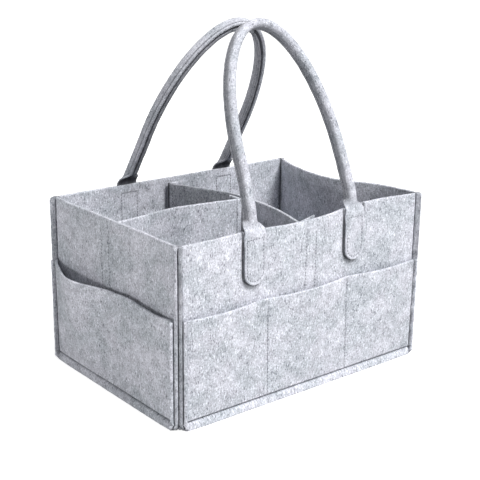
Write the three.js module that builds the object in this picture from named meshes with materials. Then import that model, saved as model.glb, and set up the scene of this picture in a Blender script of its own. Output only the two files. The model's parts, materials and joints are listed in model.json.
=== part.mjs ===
// A felt nursery caddy: an open box sewn from felt with its seams turned outward, pockets all round,
// two folded strap handles and a T of lift-out dividers held by hook and loop tape.
// Millimetres, +Z up, the front faces -Y. The origin lies on the floor under the middle of the box.

import * as THREE from 'three';

const { clamp, degToRad, smoothstep } = THREE.MathUtils;

// Stock
const FELT = 3.3; // thickness of the felt
const LAYER_GAP = 0.3; // clearance between two pieces that lie on each other
const TAPE_THICKNESS = 1.2; // hook or loop tape
const TAPE_WIDTH = 16;
const TAPE_LENGTH = 150;
const TAPE_LIFT = 14; // floor of the box to the lower end of a tape
const THREAD = 1; // width of a row of stitches
const THREAD_RISE = 0.6; // how far a row of stitches stands off the felt

// Box
const INSIDE_LENGTH = 310;
const INSIDE_WIDTH = 218;
const WALL_TOP = 181;
const FOOT_FLARE = degToRad(30); // slant of the sewn edge that runs round the floor
const FIN_TRIM = 1.7; // how far a corner seam is cut outside the sewn foot
const RIGHT_WALL_BOW = 19; // how far the slack right wall hangs into the box at its top edge
const RIGHT_WALL_BOW_START = 0.18; // where it starts to hang in, as a share of its width from the front
const RIGHT_WALL_BOW_PEAK = 0.55; // where it hangs in most

// Pockets
const POCKET_TOP = 110;
const POCKET_SEAM_SPACING = 106; // between the two seams that divide a long pocket in three
const POCKET_SEAM_INSET = 3; // raw edge of the pocket to the end of a dividing seam
const LONG_POCKET_BULGE = 7;
const SIDE_POCKET_BULGE = 18;
const SIDE_POCKET_CREST = 0.21; // where the side pocket gapes most, as a share of its width
const SIDE_POCKET_END = 0.53; // where the side pocket lies on the wall again
const POCKET_FULLNESS = 0.6; // how early the bulge starts above the floor, 1 is a straight slope

// Handles
const STRAP_WIDTH = 27;
const TAB_SPACING = 132; // between the middles of a handle's two tabs
const TAB_SEAM_DROP = 9; // top edge of the wall down to the seam that a strap bends up from
const TAB_LENGTH = 45; // that seam down to the round end of the tab
const STITCH_INSET = 3.2; // edge of the tab to its row of stitches
const LEAN_CLEARANCE = 13; // that seam up to where a strap starts to lean over the box
const LEG_RISE = 61; // along the lean, from its start to the foot of the arch
const FRONT_HANDLE = { lean: degToRad(24.8), halfSpread: 64, archRise: 136 };
const BACK_HANDLE = { lean: degToRad(30.8), halfSpread: 70, archRise: 145 };
const STRAP_CREASE = 8.3; // width of strap taken up by the round of the fold
const STRAP_FOLD = degToRad(186); // angle between the folded strap's two halves
const STRAP_FLAT = 12; // length of flat strap above the tab seam
const STRAP_FOLDED = 31; // length above the tab seam at which the strap is folded in two

// Dividers
const DIVIDER_HEIGHT = 173;
const FLANGE = 19; // turned end that carries the hook tape
const TAPE_MARGIN = 1.5; // edge of a flange to its tape
const CROSS_FRONT_X = -6; // where the cross divider leaves the front wall
const CROSS_BACK_X = -17; // where the cross divider leaves the back wall
const JUNCTION_X = 12; // where the long divider pushes the cross divider to
const JUNCTION_MARGIN = 8; // straight stretch of the cross divider beside the long divider
const LONG_DIVIDER_Y = 2;

// Facets
const BOWED_WALL_COLUMNS = 8;
const BOWED_WALL_ROWS = 4;
const POCKET_ROWS = 5;
const LONG_POCKET_COLUMNS = 6; // in each of a long pocket's three arches
const SIDE_POCKET_COLUMNS = 16;
const TAB_ROUND_STEPS = 10;
const LEG_STEPS = 3;
const ARCH_STEPS = 16;
const STRAP_ROWS = 64;
const CREASE_COLUMNS = 6;
const LEAST_FOLD = 0.001; // keeps the radius of an unfolded strap finite

// Worked out from the sizes above
const MITRE = Math.tan(Math.PI / 8); // a corner seam turns 45 degrees out of each wall
const FOLD_HEIGHT = FELT + LAYER_GAP / 2; // inner fold between the floor and a wall
const WALL_LAYER = LAYER_GAP / 2; // offset of a wall's inner face from the seam line
const OUTER_LAYER = WALL_LAYER + FELT + LAYER_GAP; // the pockets and tabs lie on the walls
const OUTER_FACE = OUTER_LAYER + FELT;
const FIN = OUTER_FACE * MITRE + Math.SQRT2 * footReach(OUTER_FACE) + FIN_TRIM;
const FLANGE_STACK = 3 * LAYER_GAP + 2 * TAPE_THICKNESS + FELT / 2; // wall to the middle of a flange
const FLOOR_TOP = FELT;
const TAB_SEAM = WALL_TOP - TAB_SEAM_DROP;
const TAB_BOTTOM = TAB_SEAM - TAB_LENGTH;
const LEAN_START = TAB_SEAM + LEAN_CLEARANCE;

const FELT_GREY = { color: 0xc3c4cb, roughness: 0.96, metalness: 0 };
const TAPE_GREY = { color: 0xb4b6bd, roughness: 0.85, metalness: 0 };
const THREAD_GREY = { color: 0xa9abb2, roughness: 0.8, metalness: 0 };

const caddy = new THREE.Group();

function add(name, geometry, finish, turn = 0) {
  const mesh = new THREE.Mesh(geometry, new THREE.MeshStandardMaterial(finish));
  mesh.name = name;
  mesh.rotation.z = turn;
  caddy.add(mesh);
  return mesh;
}

// Height at which a layer this far out of the seam line bends into the foot.
function foldHeight(offset) {
  return FOLD_HEIGHT + offset * Math.tan(FOOT_FLARE / 2);
}

// How far the foot of that layer has slanted out where it meets the floor.
function footReach(offset) {
  return foldHeight(offset) * Math.tan(FOOT_FLARE);
}

// A sheet of felt: a flat blank of columns by rows, each corner laid in place by a function.
// face is 0 on the blank's inner side and 1 on its outer side.
function feltSheet(columns, rows, lay) {
  const geometry = new THREE.BoxGeometry(1, 1, 1, columns.length - 1, rows.length - 1, 1);
  const corners = geometry.getAttribute('position');
  for (let i = 0; i < corners.count; i += 1) {
    const column = Math.round((corners.getX(i) + 0.5) * (columns.length - 1));
    const row = Math.round((corners.getY(i) + 0.5) * (rows.length - 1));
    const face = Math.round(corners.getZ(i) + 0.5);
    const place = lay(columns[column], rows[row], face);
    corners.setXYZ(i, place.x, place.y, place.z);
  }
  return geometry;
}

// Evenly spaced values from one end to the other, both ends included.
function spread(from, to, steps) {
  return Array.from({ length: steps + 1 }, (_, i) => from + ((to - from) * i) / steps);
}

// One side of the box, seen as the front: its two ends turn out into corner fins, and its foot slants out.
// bulge(along, height) is how far the felt stands out of its plane.
function boxSide({ length, depth }, layer, middle, heights, bulge) {
  const half = length / 2;
  const columns = [-half - FIN, -half, ...middle, half, half + FIN];
  const rows = [0, FOLD_HEIGHT, ...heights];
  return feltSheet(columns, rows, (along, height, face) => {
    const offset = layer + face * FELT;
    const side = Math.sign(along);
    const z = height === FOLD_HEIGHT ? foldHeight(offset) : height;
    if (Math.abs(along) > half) {
      const x = side * (half + (FIN - offset) / Math.SQRT2);
      return new THREE.Vector3(x, -depth - (FIN + offset) / Math.SQRT2, z);
    }
    const foot = height === 0 ? footReach(offset) : 0;
    const x = Math.abs(along) === half ? side * (half - offset * MITRE + foot) : along;
    return new THREE.Vector3(x, -depth - offset - foot - bulge(along, height), z);
  });
}

// Share of the full bulge at this height of a pocket or wall that is sewn down along its foot.
function fullness(height, top, power) {
  return clamp((height - FOLD_HEIGHT) / (top - FOLD_HEIGHT), 0, 1) ** power;
}

// Floor
// The floor lies flat, and its edge is cut to the slant of the foot that is sewn round it.
function floorEdge(height) {
  return ((FOLD_HEIGHT - height) * Math.sin(FOOT_FLARE) - LAYER_GAP / 2) / Math.cos(FOOT_FLARE);
}

const floorBlank = feltSheet([-1, 1], [-1, 1], (along, across, face) => {
  const edge = floorEdge(face * FLOOR_TOP);
  const x = along * (INSIDE_LENGTH / 2 + edge);
  return new THREE.Vector3(x, across * (INSIDE_WIDTH / 2 + edge), face * FLOOR_TOP);
});
add('base_panel', floorBlank, FELT_GREY);

// Walls
const LONG_SIDE = { length: INSIDE_LENGTH, depth: INSIDE_WIDTH / 2 };
const SHORT_SIDE = { length: INSIDE_WIDTH, depth: INSIDE_LENGTH / 2 };
const SIDES = [
  { name: 'front', turn: 0, size: LONG_SIDE, bow: 0 },
  { name: 'right', turn: Math.PI / 2, size: SHORT_SIDE, bow: RIGHT_WALL_BOW },
  { name: 'back', turn: Math.PI, size: LONG_SIDE, bow: 0 },
  { name: 'left', turn: -Math.PI / 2, size: SHORT_SIDE, bow: 0 },
];

// Share of the bow at this place along the slack wall.
function slackness(along) {
  const share = along / INSIDE_WIDTH + 0.5;
  const rise = smoothstep(share, RIGHT_WALL_BOW_START, RIGHT_WALL_BOW_PEAK);
  return rise * (1 - smoothstep(share, RIGHT_WALL_BOW_PEAK, 1));
}

for (const { name, turn, size, bow } of SIDES) {
  const half = size.length / 2;
  const middle = bow ? spread(-half, half, BOWED_WALL_COLUMNS).slice(1, -1) : [];
  const heights = bow ? spread(FOLD_HEIGHT, WALL_TOP, BOWED_WALL_ROWS).slice(1) : [WALL_TOP];
  const hang = (along, height) => -bow * slackness(along) * fullness(height, WALL_TOP, 1);
  add(`${name}_wall`, boxSide(size, WALL_LAYER, middle, heights, hang), FELT_GREY, turn);
}

// Pockets
// A long pocket is sewn through twice, so that it bulges in three arches.
function longPocketBulge(along, height) {
  const seams = [-INSIDE_LENGTH / 2, -POCKET_SEAM_SPACING / 2, POCKET_SEAM_SPACING / 2, INSIDE_LENGTH / 2];
  const right = seams.findIndex((seam) => along <= seam);
  if (right < 1) {
    return 0;
  }
  const share = (along - seams[right - 1]) / (seams[right] - seams[right - 1]);
  return LONG_POCKET_BULGE * 4 * share * (1 - share) * fullness(height, POCKET_TOP, POCKET_FULLNESS);
}

// A side pocket gapes near one corner and lies on its wall towards the other.
function sidePocketBulge(along, height) {
  const share = along / INSIDE_WIDTH + 0.5;
  const rise = Math.sin((Math.PI / 2) * clamp(share / SIDE_POCKET_CREST, 0, 1));
  const fall = 1 - smoothstep(share, SIDE_POCKET_CREST, SIDE_POCKET_END);
  return SIDE_POCKET_BULGE * rise * fall * fullness(height, POCKET_TOP, POCKET_FULLNESS);
}

const seamAlong = POCKET_SEAM_SPACING / 2;
const longPocketColumns = [
  ...spread(-INSIDE_LENGTH / 2, -seamAlong, LONG_POCKET_COLUMNS).slice(1),
  ...spread(-seamAlong, seamAlong, LONG_POCKET_COLUMNS).slice(1),
  ...spread(seamAlong, INSIDE_LENGTH / 2, LONG_POCKET_COLUMNS).slice(1, -1),
];
const sidePocketColumns = spread(-INSIDE_WIDTH / 2, INSIDE_WIDTH / 2, SIDE_POCKET_COLUMNS).slice(1, -1);
const pocketHeights = spread(FOLD_HEIGHT, POCKET_TOP, POCKET_ROWS).slice(1);

for (const { name, turn, size } of SIDES) {
  const long = size === LONG_SIDE;
  const columns = long ? longPocketColumns : sidePocketColumns;
  const bulge = long ? longPocketBulge : sidePocketBulge;
  add(`${name}_pocket`, boxSide(size, OUTER_LAYER, columns, pocketHeights, bulge), FELT_GREY, turn);
}

// Rows of stitches that divide the long pockets
const pocketSeamFoot = foldHeight(OUTER_FACE) + POCKET_SEAM_INSET;
const pocketSeamLength = POCKET_TOP - POCKET_SEAM_INSET - pocketSeamFoot;
const pocketSeamDepth = INSIDE_WIDTH / 2 + OUTER_FACE + LAYER_GAP + THREAD_RISE / 2;

for (const [face, towards] of [['front', -1], ['back', 1]]) {
  for (const [hand, side] of [['left', -1], ['right', 1]]) {
    const bar = new THREE.BoxGeometry(THREAD, THREAD_RISE, pocketSeamLength);
    const mesh = add(`${face}_pocket_${hand}_seam`, bar, THREAD_GREY);
    mesh.position.set(side * seamAlong, towards * pocketSeamDepth, pocketSeamFoot + pocketSeamLength / 2);
  }
}

// Handle tabs
// Outline of a tab, drawn upright about its middle line and drawn in by an inset.
function tabOutline(outline, inset) {
  const top = TAB_SEAM - LAYER_GAP / 2 - inset;
  const half = STRAP_WIDTH / 2 - inset;
  const roundCentre = TAB_BOTTOM + STRAP_WIDTH / 2;
  outline.moveTo(-half, top);
  outline.lineTo(-half, roundCentre);
  outline.absarc(0, roundCentre, half, Math.PI, 2 * Math.PI, false);
  outline.lineTo(half, top);
  outline.closePath();
  return outline;
}

// A flat piece of this outline, standing upright with its back this far in front of the middle of the box.
function uprightPlate(outline, thickness, along, back) {
  const settings = { depth: thickness, bevelEnabled: false, curveSegments: TAB_ROUND_STEPS };
  const geometry = new THREE.ExtrudeGeometry(outline, settings);
  geometry.rotateX(Math.PI / 2);
  geometry.translate(along, -back, 0);
  return geometry;
}

const tabBack = INSIDE_WIDTH / 2 + OUTER_LAYER;
const tabFront = INSIDE_WIDTH / 2 + OUTER_FACE;

for (const [face, turn] of [['front', 0], ['back', Math.PI]]) {
  for (const [hand, side] of [['left', -1], ['right', 1]]) {
    const along = (turn ? -side : side) * (TAB_SPACING / 2);
    const tab = uprightPlate(tabOutline(new THREE.Shape(), 0), FELT, along, tabBack);
    add(`${face}_handle_${hand}_tab`, tab, FELT_GREY, turn);

    const ring = tabOutline(new THREE.Shape(), STITCH_INSET);
    ring.holes.push(tabOutline(new THREE.Path(), STITCH_INSET + THREAD));
    const stitches = uprightPlate(ring, THREAD_RISE, along, tabFront + LAYER_GAP);
    add(`${face}_handle_${hand}_stitching`, stitches, THREAD_GREY, turn);
  }
}

// Handle straps
// Middle line of a strap, from the seam on one tab over the arch to the seam on the other.
function strapLine({ lean, halfSpread, archRise }) {
  const plane = INSIDE_WIDTH / 2 + OUTER_LAYER + FELT / 2;
  const lay = (along, rise) => new THREE.Vector3(
    along,
    -plane + Math.max(rise, 0) * Math.sin(lean),
    LEAN_START + (rise > 0 ? rise * Math.cos(lean) : rise),
  );
  const foot = TAB_SEAM + LAYER_GAP / 2 - LEAN_START;
  const leg = (side) => {
    const atTab = side * (TAB_SPACING / 2);
    const atArch = side * halfSpread;
    const rises = spread(0, LEG_RISE, LEG_STEPS).slice(1, -1);
    const upper = rises.map((rise) => lay(atTab + (atArch - atTab) * smoothstep(rise, 0, LEG_RISE), rise));
    return [lay(atTab, foot), lay(atTab, foot / 2), lay(atTab, 0), ...upper];
  };
  const arch = spread(Math.PI, 0, ARCH_STEPS).map((angle) => (
    lay(halfSpread * Math.cos(angle), LEG_RISE + archRise * Math.sin(angle))
  ));
  return new THREE.CatmullRomCurve3([...leg(-1), ...arch, ...leg(1).reverse()]);
}

// Place of a point of the strap in its own cross-section: b across the strap and n out of its face.
// fold runs from 0, a flat strap, to 1, a strap folded in two with its raw edges together.
function strapSection(across, fold, face) {
  const turn = Math.max(fold, LEAST_FOLD) * STRAP_FOLD;
  const radius = STRAP_CREASE / turn;
  const bent = clamp(across, -STRAP_CREASE / 2, STRAP_CREASE / 2);
  const angle = bent / radius;
  const wing = across - bent;
  const lift = (face - 0.5) * FELT;
  return {
    b: (radius + lift) * Math.sin(angle) + wing * Math.cos(angle),
    n: (radius + lift) * Math.cos(angle) - radius - wing * Math.sin(angle),
  };
}

function strap(handle) {
  const line = strapLine(handle);
  const length = line.getLength();
  const outward = new THREE.Vector3(0, -Math.cos(handle.lean), Math.sin(handle.lean));
  const half = STRAP_WIDTH / 2;
  const crease = STRAP_CREASE / 2;
  const columns = [-half, ...spread(-crease, crease, CREASE_COLUMNS), half];
  return feltSheet(columns, spread(0, 1, STRAP_ROWS), (across, share, face) => {
    const place = line.getPointAt(share);
    const along = line.getTangentAt(share);
    const normal = outward.clone().addScaledVector(along, -outward.dot(along)).normalize();
    const side = along.clone().cross(normal);
    const fromTab = Math.min(share, 1 - share) * length;
    const fold = smoothstep(fromTab, STRAP_FLAT, STRAP_FOLDED);
    const { b, n } = strapSection(across, fold, face);
    return place.addScaledVector(side, b).addScaledVector(normal, n);
  });
}

add('front_handle_strap', strap(FRONT_HANDLE), FELT_GREY);
add('back_handle_strap', strap(BACK_HANDLE), FELT_GREY, Math.PI);

// Dividers
// Outline of a standing strip of felt that follows these points, with square ends and mitred bends.
function stripOutline(points) {
  const normals = points.slice(1).map((point, i) => {
    const run = point.clone().sub(points[i]).normalize();
    return new THREE.Vector2(-run.y, run.x);
  });
  const edge = (side) => points.map((point, i) => {
    const before = normals[Math.max(i - 1, 0)];
    const after = normals[Math.min(i, normals.length - 1)];
    const mitre = before.clone().add(after).divideScalar(1 + before.dot(after));
    return point.clone().addScaledVector(mitre, (side * FELT) / 2);
  });
  return new THREE.Shape([...edge(1), ...edge(-1).reverse()]);
}

function addDivider(name, points) {
  const panel = new THREE.ExtrudeGeometry(stripOutline(points), { depth: DIVIDER_HEIGHT, bevelEnabled: false });
  panel.translate(0, 0, FLOOR_TOP + LAYER_GAP);
  add(name, panel, FELT_GREY);
}

const wallInside = (size) => size.depth + WALL_LAYER;
const flangeY = wallInside(LONG_SIDE) - FLANGE_STACK;
const longLeftX = FLANGE_STACK - wallInside(SHORT_SIDE);
const longRightX = JUNCTION_X - FELT / 2 - FLANGE_STACK;

addDivider('cross_divider', [
  new THREE.Vector2(CROSS_FRONT_X + FLANGE, -flangeY),
  new THREE.Vector2(CROSS_FRONT_X, -flangeY),
  new THREE.Vector2(JUNCTION_X, LONG_DIVIDER_Y - JUNCTION_MARGIN),
  new THREE.Vector2(JUNCTION_X, LONG_DIVIDER_Y + FLANGE + JUNCTION_MARGIN),
  new THREE.Vector2(CROSS_BACK_X, flangeY),
  new THREE.Vector2(CROSS_BACK_X + FLANGE, flangeY),
]);

addDivider('long_divider', [
  new THREE.Vector2(longLeftX, LONG_DIVIDER_Y + FLANGE),
  new THREE.Vector2(longLeftX, LONG_DIVIDER_Y),
  new THREE.Vector2(longRightX, LONG_DIVIDER_Y),
  new THREE.Vector2(longRightX, LONG_DIVIDER_Y + FLANGE),
]);

// Hook and loop tapes
// Each pair stands between a surface and a flange: the loop tape on the surface, the hook tape on the flange.
const onFlange = FLANGE - TAPE_MARGIN - TAPE_WIDTH / 2;
const tapeHeight = FLOOR_TOP + TAPE_LIFT + TAPE_LENGTH / 2;
const loopDepth = LAYER_GAP + TAPE_THICKNESS / 2;
const hookDepth = 2 * LAYER_GAP + 1.5 * TAPE_THICKNESS;
const longTapeY = LONG_DIVIDER_Y + onFlange;
const wallX = wallInside(SHORT_SIDE);
const wallY = wallInside(LONG_SIDE);
const junctionFace = JUNCTION_X - FELT / 2;

function addTape(name, x, y, turn = 0) {
  const tape = new THREE.BoxGeometry(TAPE_WIDTH, TAPE_THICKNESS, TAPE_LENGTH);
  add(name, tape, TAPE_GREY, turn).position.set(x, y, tapeHeight);
}

const QUARTER = Math.PI / 2;
addTape('front_wall_loop_tape', CROSS_FRONT_X + onFlange, loopDepth - wallY);
addTape('cross_divider_front_hook_tape', CROSS_FRONT_X + onFlange, hookDepth - wallY);
addTape('back_wall_loop_tape', CROSS_BACK_X + onFlange, wallY - loopDepth);
addTape('cross_divider_back_hook_tape', CROSS_BACK_X + onFlange, wallY - hookDepth);
addTape('left_wall_loop_tape', loopDepth - wallX, longTapeY, QUARTER);
addTape('long_divider_left_hook_tape', hookDepth - wallX, longTapeY, QUARTER);
addTape('cross_divider_loop_tape', junctionFace - loopDepth, longTapeY, QUARTER);
addTape('long_divider_right_hook_tape', junctionFace - hookDepth, longTapeY, QUARTER);

export default caddy;
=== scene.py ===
"""The looks of a felt nursery caddy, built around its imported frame.

Every felt piece is cut as a flat blank and then laid in its place by a function, as a maker folds and
sews it. Rows of stitches, the tapes and the studio follow. All sizes are in metres, in the frame's axes.
"""

import json
import logging
import math
import random
from collections.abc import Callable, Sequence
from dataclasses import dataclass, field
from enum import Enum
from functools import partial
from typing import Any

import bpy
import bmesh
from mathutils import Matrix, Vector, noise


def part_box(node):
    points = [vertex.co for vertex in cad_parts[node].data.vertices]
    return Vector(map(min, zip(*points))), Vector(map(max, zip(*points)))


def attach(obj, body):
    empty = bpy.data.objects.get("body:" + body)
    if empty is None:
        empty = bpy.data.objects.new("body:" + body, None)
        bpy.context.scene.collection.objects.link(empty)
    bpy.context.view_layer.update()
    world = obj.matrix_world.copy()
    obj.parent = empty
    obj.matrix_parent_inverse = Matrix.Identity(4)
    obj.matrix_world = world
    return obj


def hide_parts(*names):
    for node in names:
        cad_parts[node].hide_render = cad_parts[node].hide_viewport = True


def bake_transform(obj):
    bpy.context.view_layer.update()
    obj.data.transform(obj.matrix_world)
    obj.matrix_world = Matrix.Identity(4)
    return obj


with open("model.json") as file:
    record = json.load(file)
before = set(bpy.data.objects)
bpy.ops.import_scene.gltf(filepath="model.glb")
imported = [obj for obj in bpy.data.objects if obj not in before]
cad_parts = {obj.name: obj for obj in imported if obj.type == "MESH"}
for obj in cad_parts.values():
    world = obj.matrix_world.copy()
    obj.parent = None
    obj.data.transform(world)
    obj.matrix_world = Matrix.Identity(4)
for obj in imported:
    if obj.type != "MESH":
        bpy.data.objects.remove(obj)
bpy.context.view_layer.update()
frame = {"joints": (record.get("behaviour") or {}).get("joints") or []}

LOG = logging.getLogger("caddy")
MM = 0.001
CLEARANCE = 0.3 * MM  # between two pieces that lie on each other
CUT_ATTRIBUTE = "cut"  # a point's place on the flat blank it was cut from
SHADE_ATTRIBUTE = "pressed"  # painted shade: darkening of creases, folds, hollows, raw edges and contact lines, and along seams, where shade falls
PROBE = 0.2 * MM  # step for the slope of a laid surface
NOISE_MIDDLE = 0.5  # mean of a noise texture
OTHER_HAND = {"left": "right", "right": "left"}  # for the back, which is drawn as the front

Colour = tuple[float, float, float, float]
Lay = Callable[[float, float, float], Vector]
Trim = Callable[[float, float], tuple[float, float]]
ShadeFunction = Callable[[float, float, float], float]


class Slot(Enum):
    """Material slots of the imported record."""

    FELT = "felt"
    LOOP_TAPE = "loop_tape"
    HOOK_TAPE = "hook_tape"
    THREAD = "thread"


class Body(Enum):
    """Bodies that the pieces ride on."""

    BOX = "box"
    FRONT_HANDLE = "front_handle"
    BACK_HANDLE = "back_handle"
    CROSS = "cross_partition"
    LONG = "long_partition"


class Layer(Enum):
    """Felt layers of a side of the box, counted outward from the seam line."""

    WALL = 0
    POCKET = 1


def clamp(value: float, low: float = 0.0, high: float = 1.0) -> float:
    """Returns the value held between two limits."""
    return max(low, min(high, value))


def ease(value: float, low: float, high: float) -> float:
    """Returns 0 below low, 1 above high and a smooth step between them."""
    share = clamp((value - low) / (high - low))
    return share * share * (3 - 2 * share)


def dip(distance: float, reach: float) -> float:
    """Returns 1 on a seam, falling smoothly to 0 some reaches away from it."""
    return math.exp(-((distance / reach) ** 2))


def ripple(a: float, b: float, seed: float) -> float:
    """Returns smooth noise between about -1 and 1."""
    return noise.noise(Vector((a, b, seed)))


def spread(low: float, high: float, pitch: float) -> list[float]:
    """Returns evenly spaced stations, both ends included, no further apart than the pitch."""
    steps = max(1, math.ceil((high - low) / pitch))
    return [low + (high - low) * i / steps for i in range(steps + 1)]


def stations(low: float, high: float, pitch: float, marks: Sequence[float] = ()) -> list[float]:
    """Spaces the columns or rows of a blank, closer together beside its edges and its seams.

    Args:
        low: First station.
        high: Last station.
        pitch: Widest spacing.
        marks: Places of seams and folds.

    Returns:
        The stations in rising order.
    """
    step = 0.5 * MM
    reach = 5
    near = [mark + step * i for mark in (low, *marks, high) for i in range(-reach, reach + 1)]
    edges = (low, high)
    fine = [x for x in near if low < x < high and min(abs(x - edge) for edge in edges) > step / 2]
    coarse = [x for x in spread(low, high, pitch) if all(abs(x - y) > step for y in fine)]
    kept = [low]
    for station in sorted({*fine, *coarse, high}):
        if station - kept[-1] > step / 4:
            kept.append(station)
    kept[-1] = high
    return kept


class Value:
    """A shader socket that takes part in Python arithmetic."""

    def __init__(self, graph: "Graph", socket: bpy.types.NodeSocket) -> None:
        """Wraps one output socket of a graph."""
        self.graph = graph
        self.socket = socket

    def _math(self, operation: str, first: Any, second: Any) -> "Value":
        """Adds a Math node for two values and returns its result."""
        return self.graph.add("ShaderNodeMath", {"operation": operation}, {0: first, 1: second})

    def __add__(self, other: Any) -> "Value":
        """Adds."""
        return self._math("ADD", self, other)

    def __radd__(self, other: Any) -> "Value":
        """Adds, reflected."""
        return self._math("ADD", other, self)

    def __sub__(self, other: Any) -> "Value":
        """Subtracts."""
        return self._math("SUBTRACT", self, other)

    def __mul__(self, other: Any) -> "Value":
        """Multiplies."""
        return self._math("MULTIPLY", self, other)

    def maximum(self, other: Any) -> "Value":
        """Returns the larger of two values."""
        return self._math("MAXIMUM", self, other)

    def between(self, low: float, high: float) -> "Value":
        """Makes a smooth step of this value.

        Args:
            low: Where the step starts, at 0.
            high: Where it ends, at 1.

        Returns:
            The step.
        """
        settings = {"interpolation_type": "SMOOTHSTEP", "clamp": True}
        limits = {"Value": self, "From Min": low, "From Max": high}
        return self.graph.add("ShaderNodeMapRange", settings, limits)


class Graph:
    """The nodes of one material or world, added through one method."""

    def __init__(self, owner: bpy.types.Material | bpy.types.World) -> None:
        """Empties the owner's node tree.

        Args:
            owner: The material or world that the nodes belong to.
        """
        owner.use_nodes = True
        self.tree = owner.node_tree
        self.tree.nodes.clear()

    def node(self, kind: str, settings: dict[str, Any], inputs: dict[str | int, Any]) -> bpy.types.Node:
        """Adds a node.

        Args:
            kind: The node's type.
            settings: Attributes of the node, set first.
            inputs: Values or links of its sockets, by name or place.

        Returns:
            The node.
        """
        node = self.tree.nodes.new(kind)
        for name, value in settings.items():
            setattr(node, name, value)
        for name, value in inputs.items():
            if isinstance(value, Value):
                self.tree.links.new(value.socket, node.inputs[name])
            else:
                node.inputs[name].default_value = value
        return node

    def add(
        self, kind: str, settings: dict[str, Any], inputs: dict[str | int, Any], output: str | int = 0,
    ) -> Value:
        """Adds a node, as node does, and returns one of its outputs."""
        return Value(self, self.node(kind, settings, inputs).outputs[output])

    def mix(self, factor: Any, first: Any, second: Any, blend: str = "MIX") -> Value:
        """Mixes two colours, which are sockets 6, 7 and 2 of a mix node."""
        settings = {"data_type": "RGBA", "blend_type": blend, "clamp_factor": True}
        return self.add("ShaderNodeMix", settings, {0: factor, 6: first, 7: second}, output=2)


def srgb(red: int, green: int, blue: int) -> Colour:
    """Decodes a colour.

    Args:
        red: Red, in 8-bit sRGB.
        green: Green, in the same way.
        blue: Blue, in the same way.

    Returns:
        The linear colour, fully opaque.
    """
    def linear(value: int) -> float:
        """Decodes one channel."""
        share = value / 255
        return share / 12.92 if share <= 0.04045 else ((share + 0.055) / 1.055) ** 2.4
    return linear(red), linear(green), linear(blue), 1.0


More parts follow.
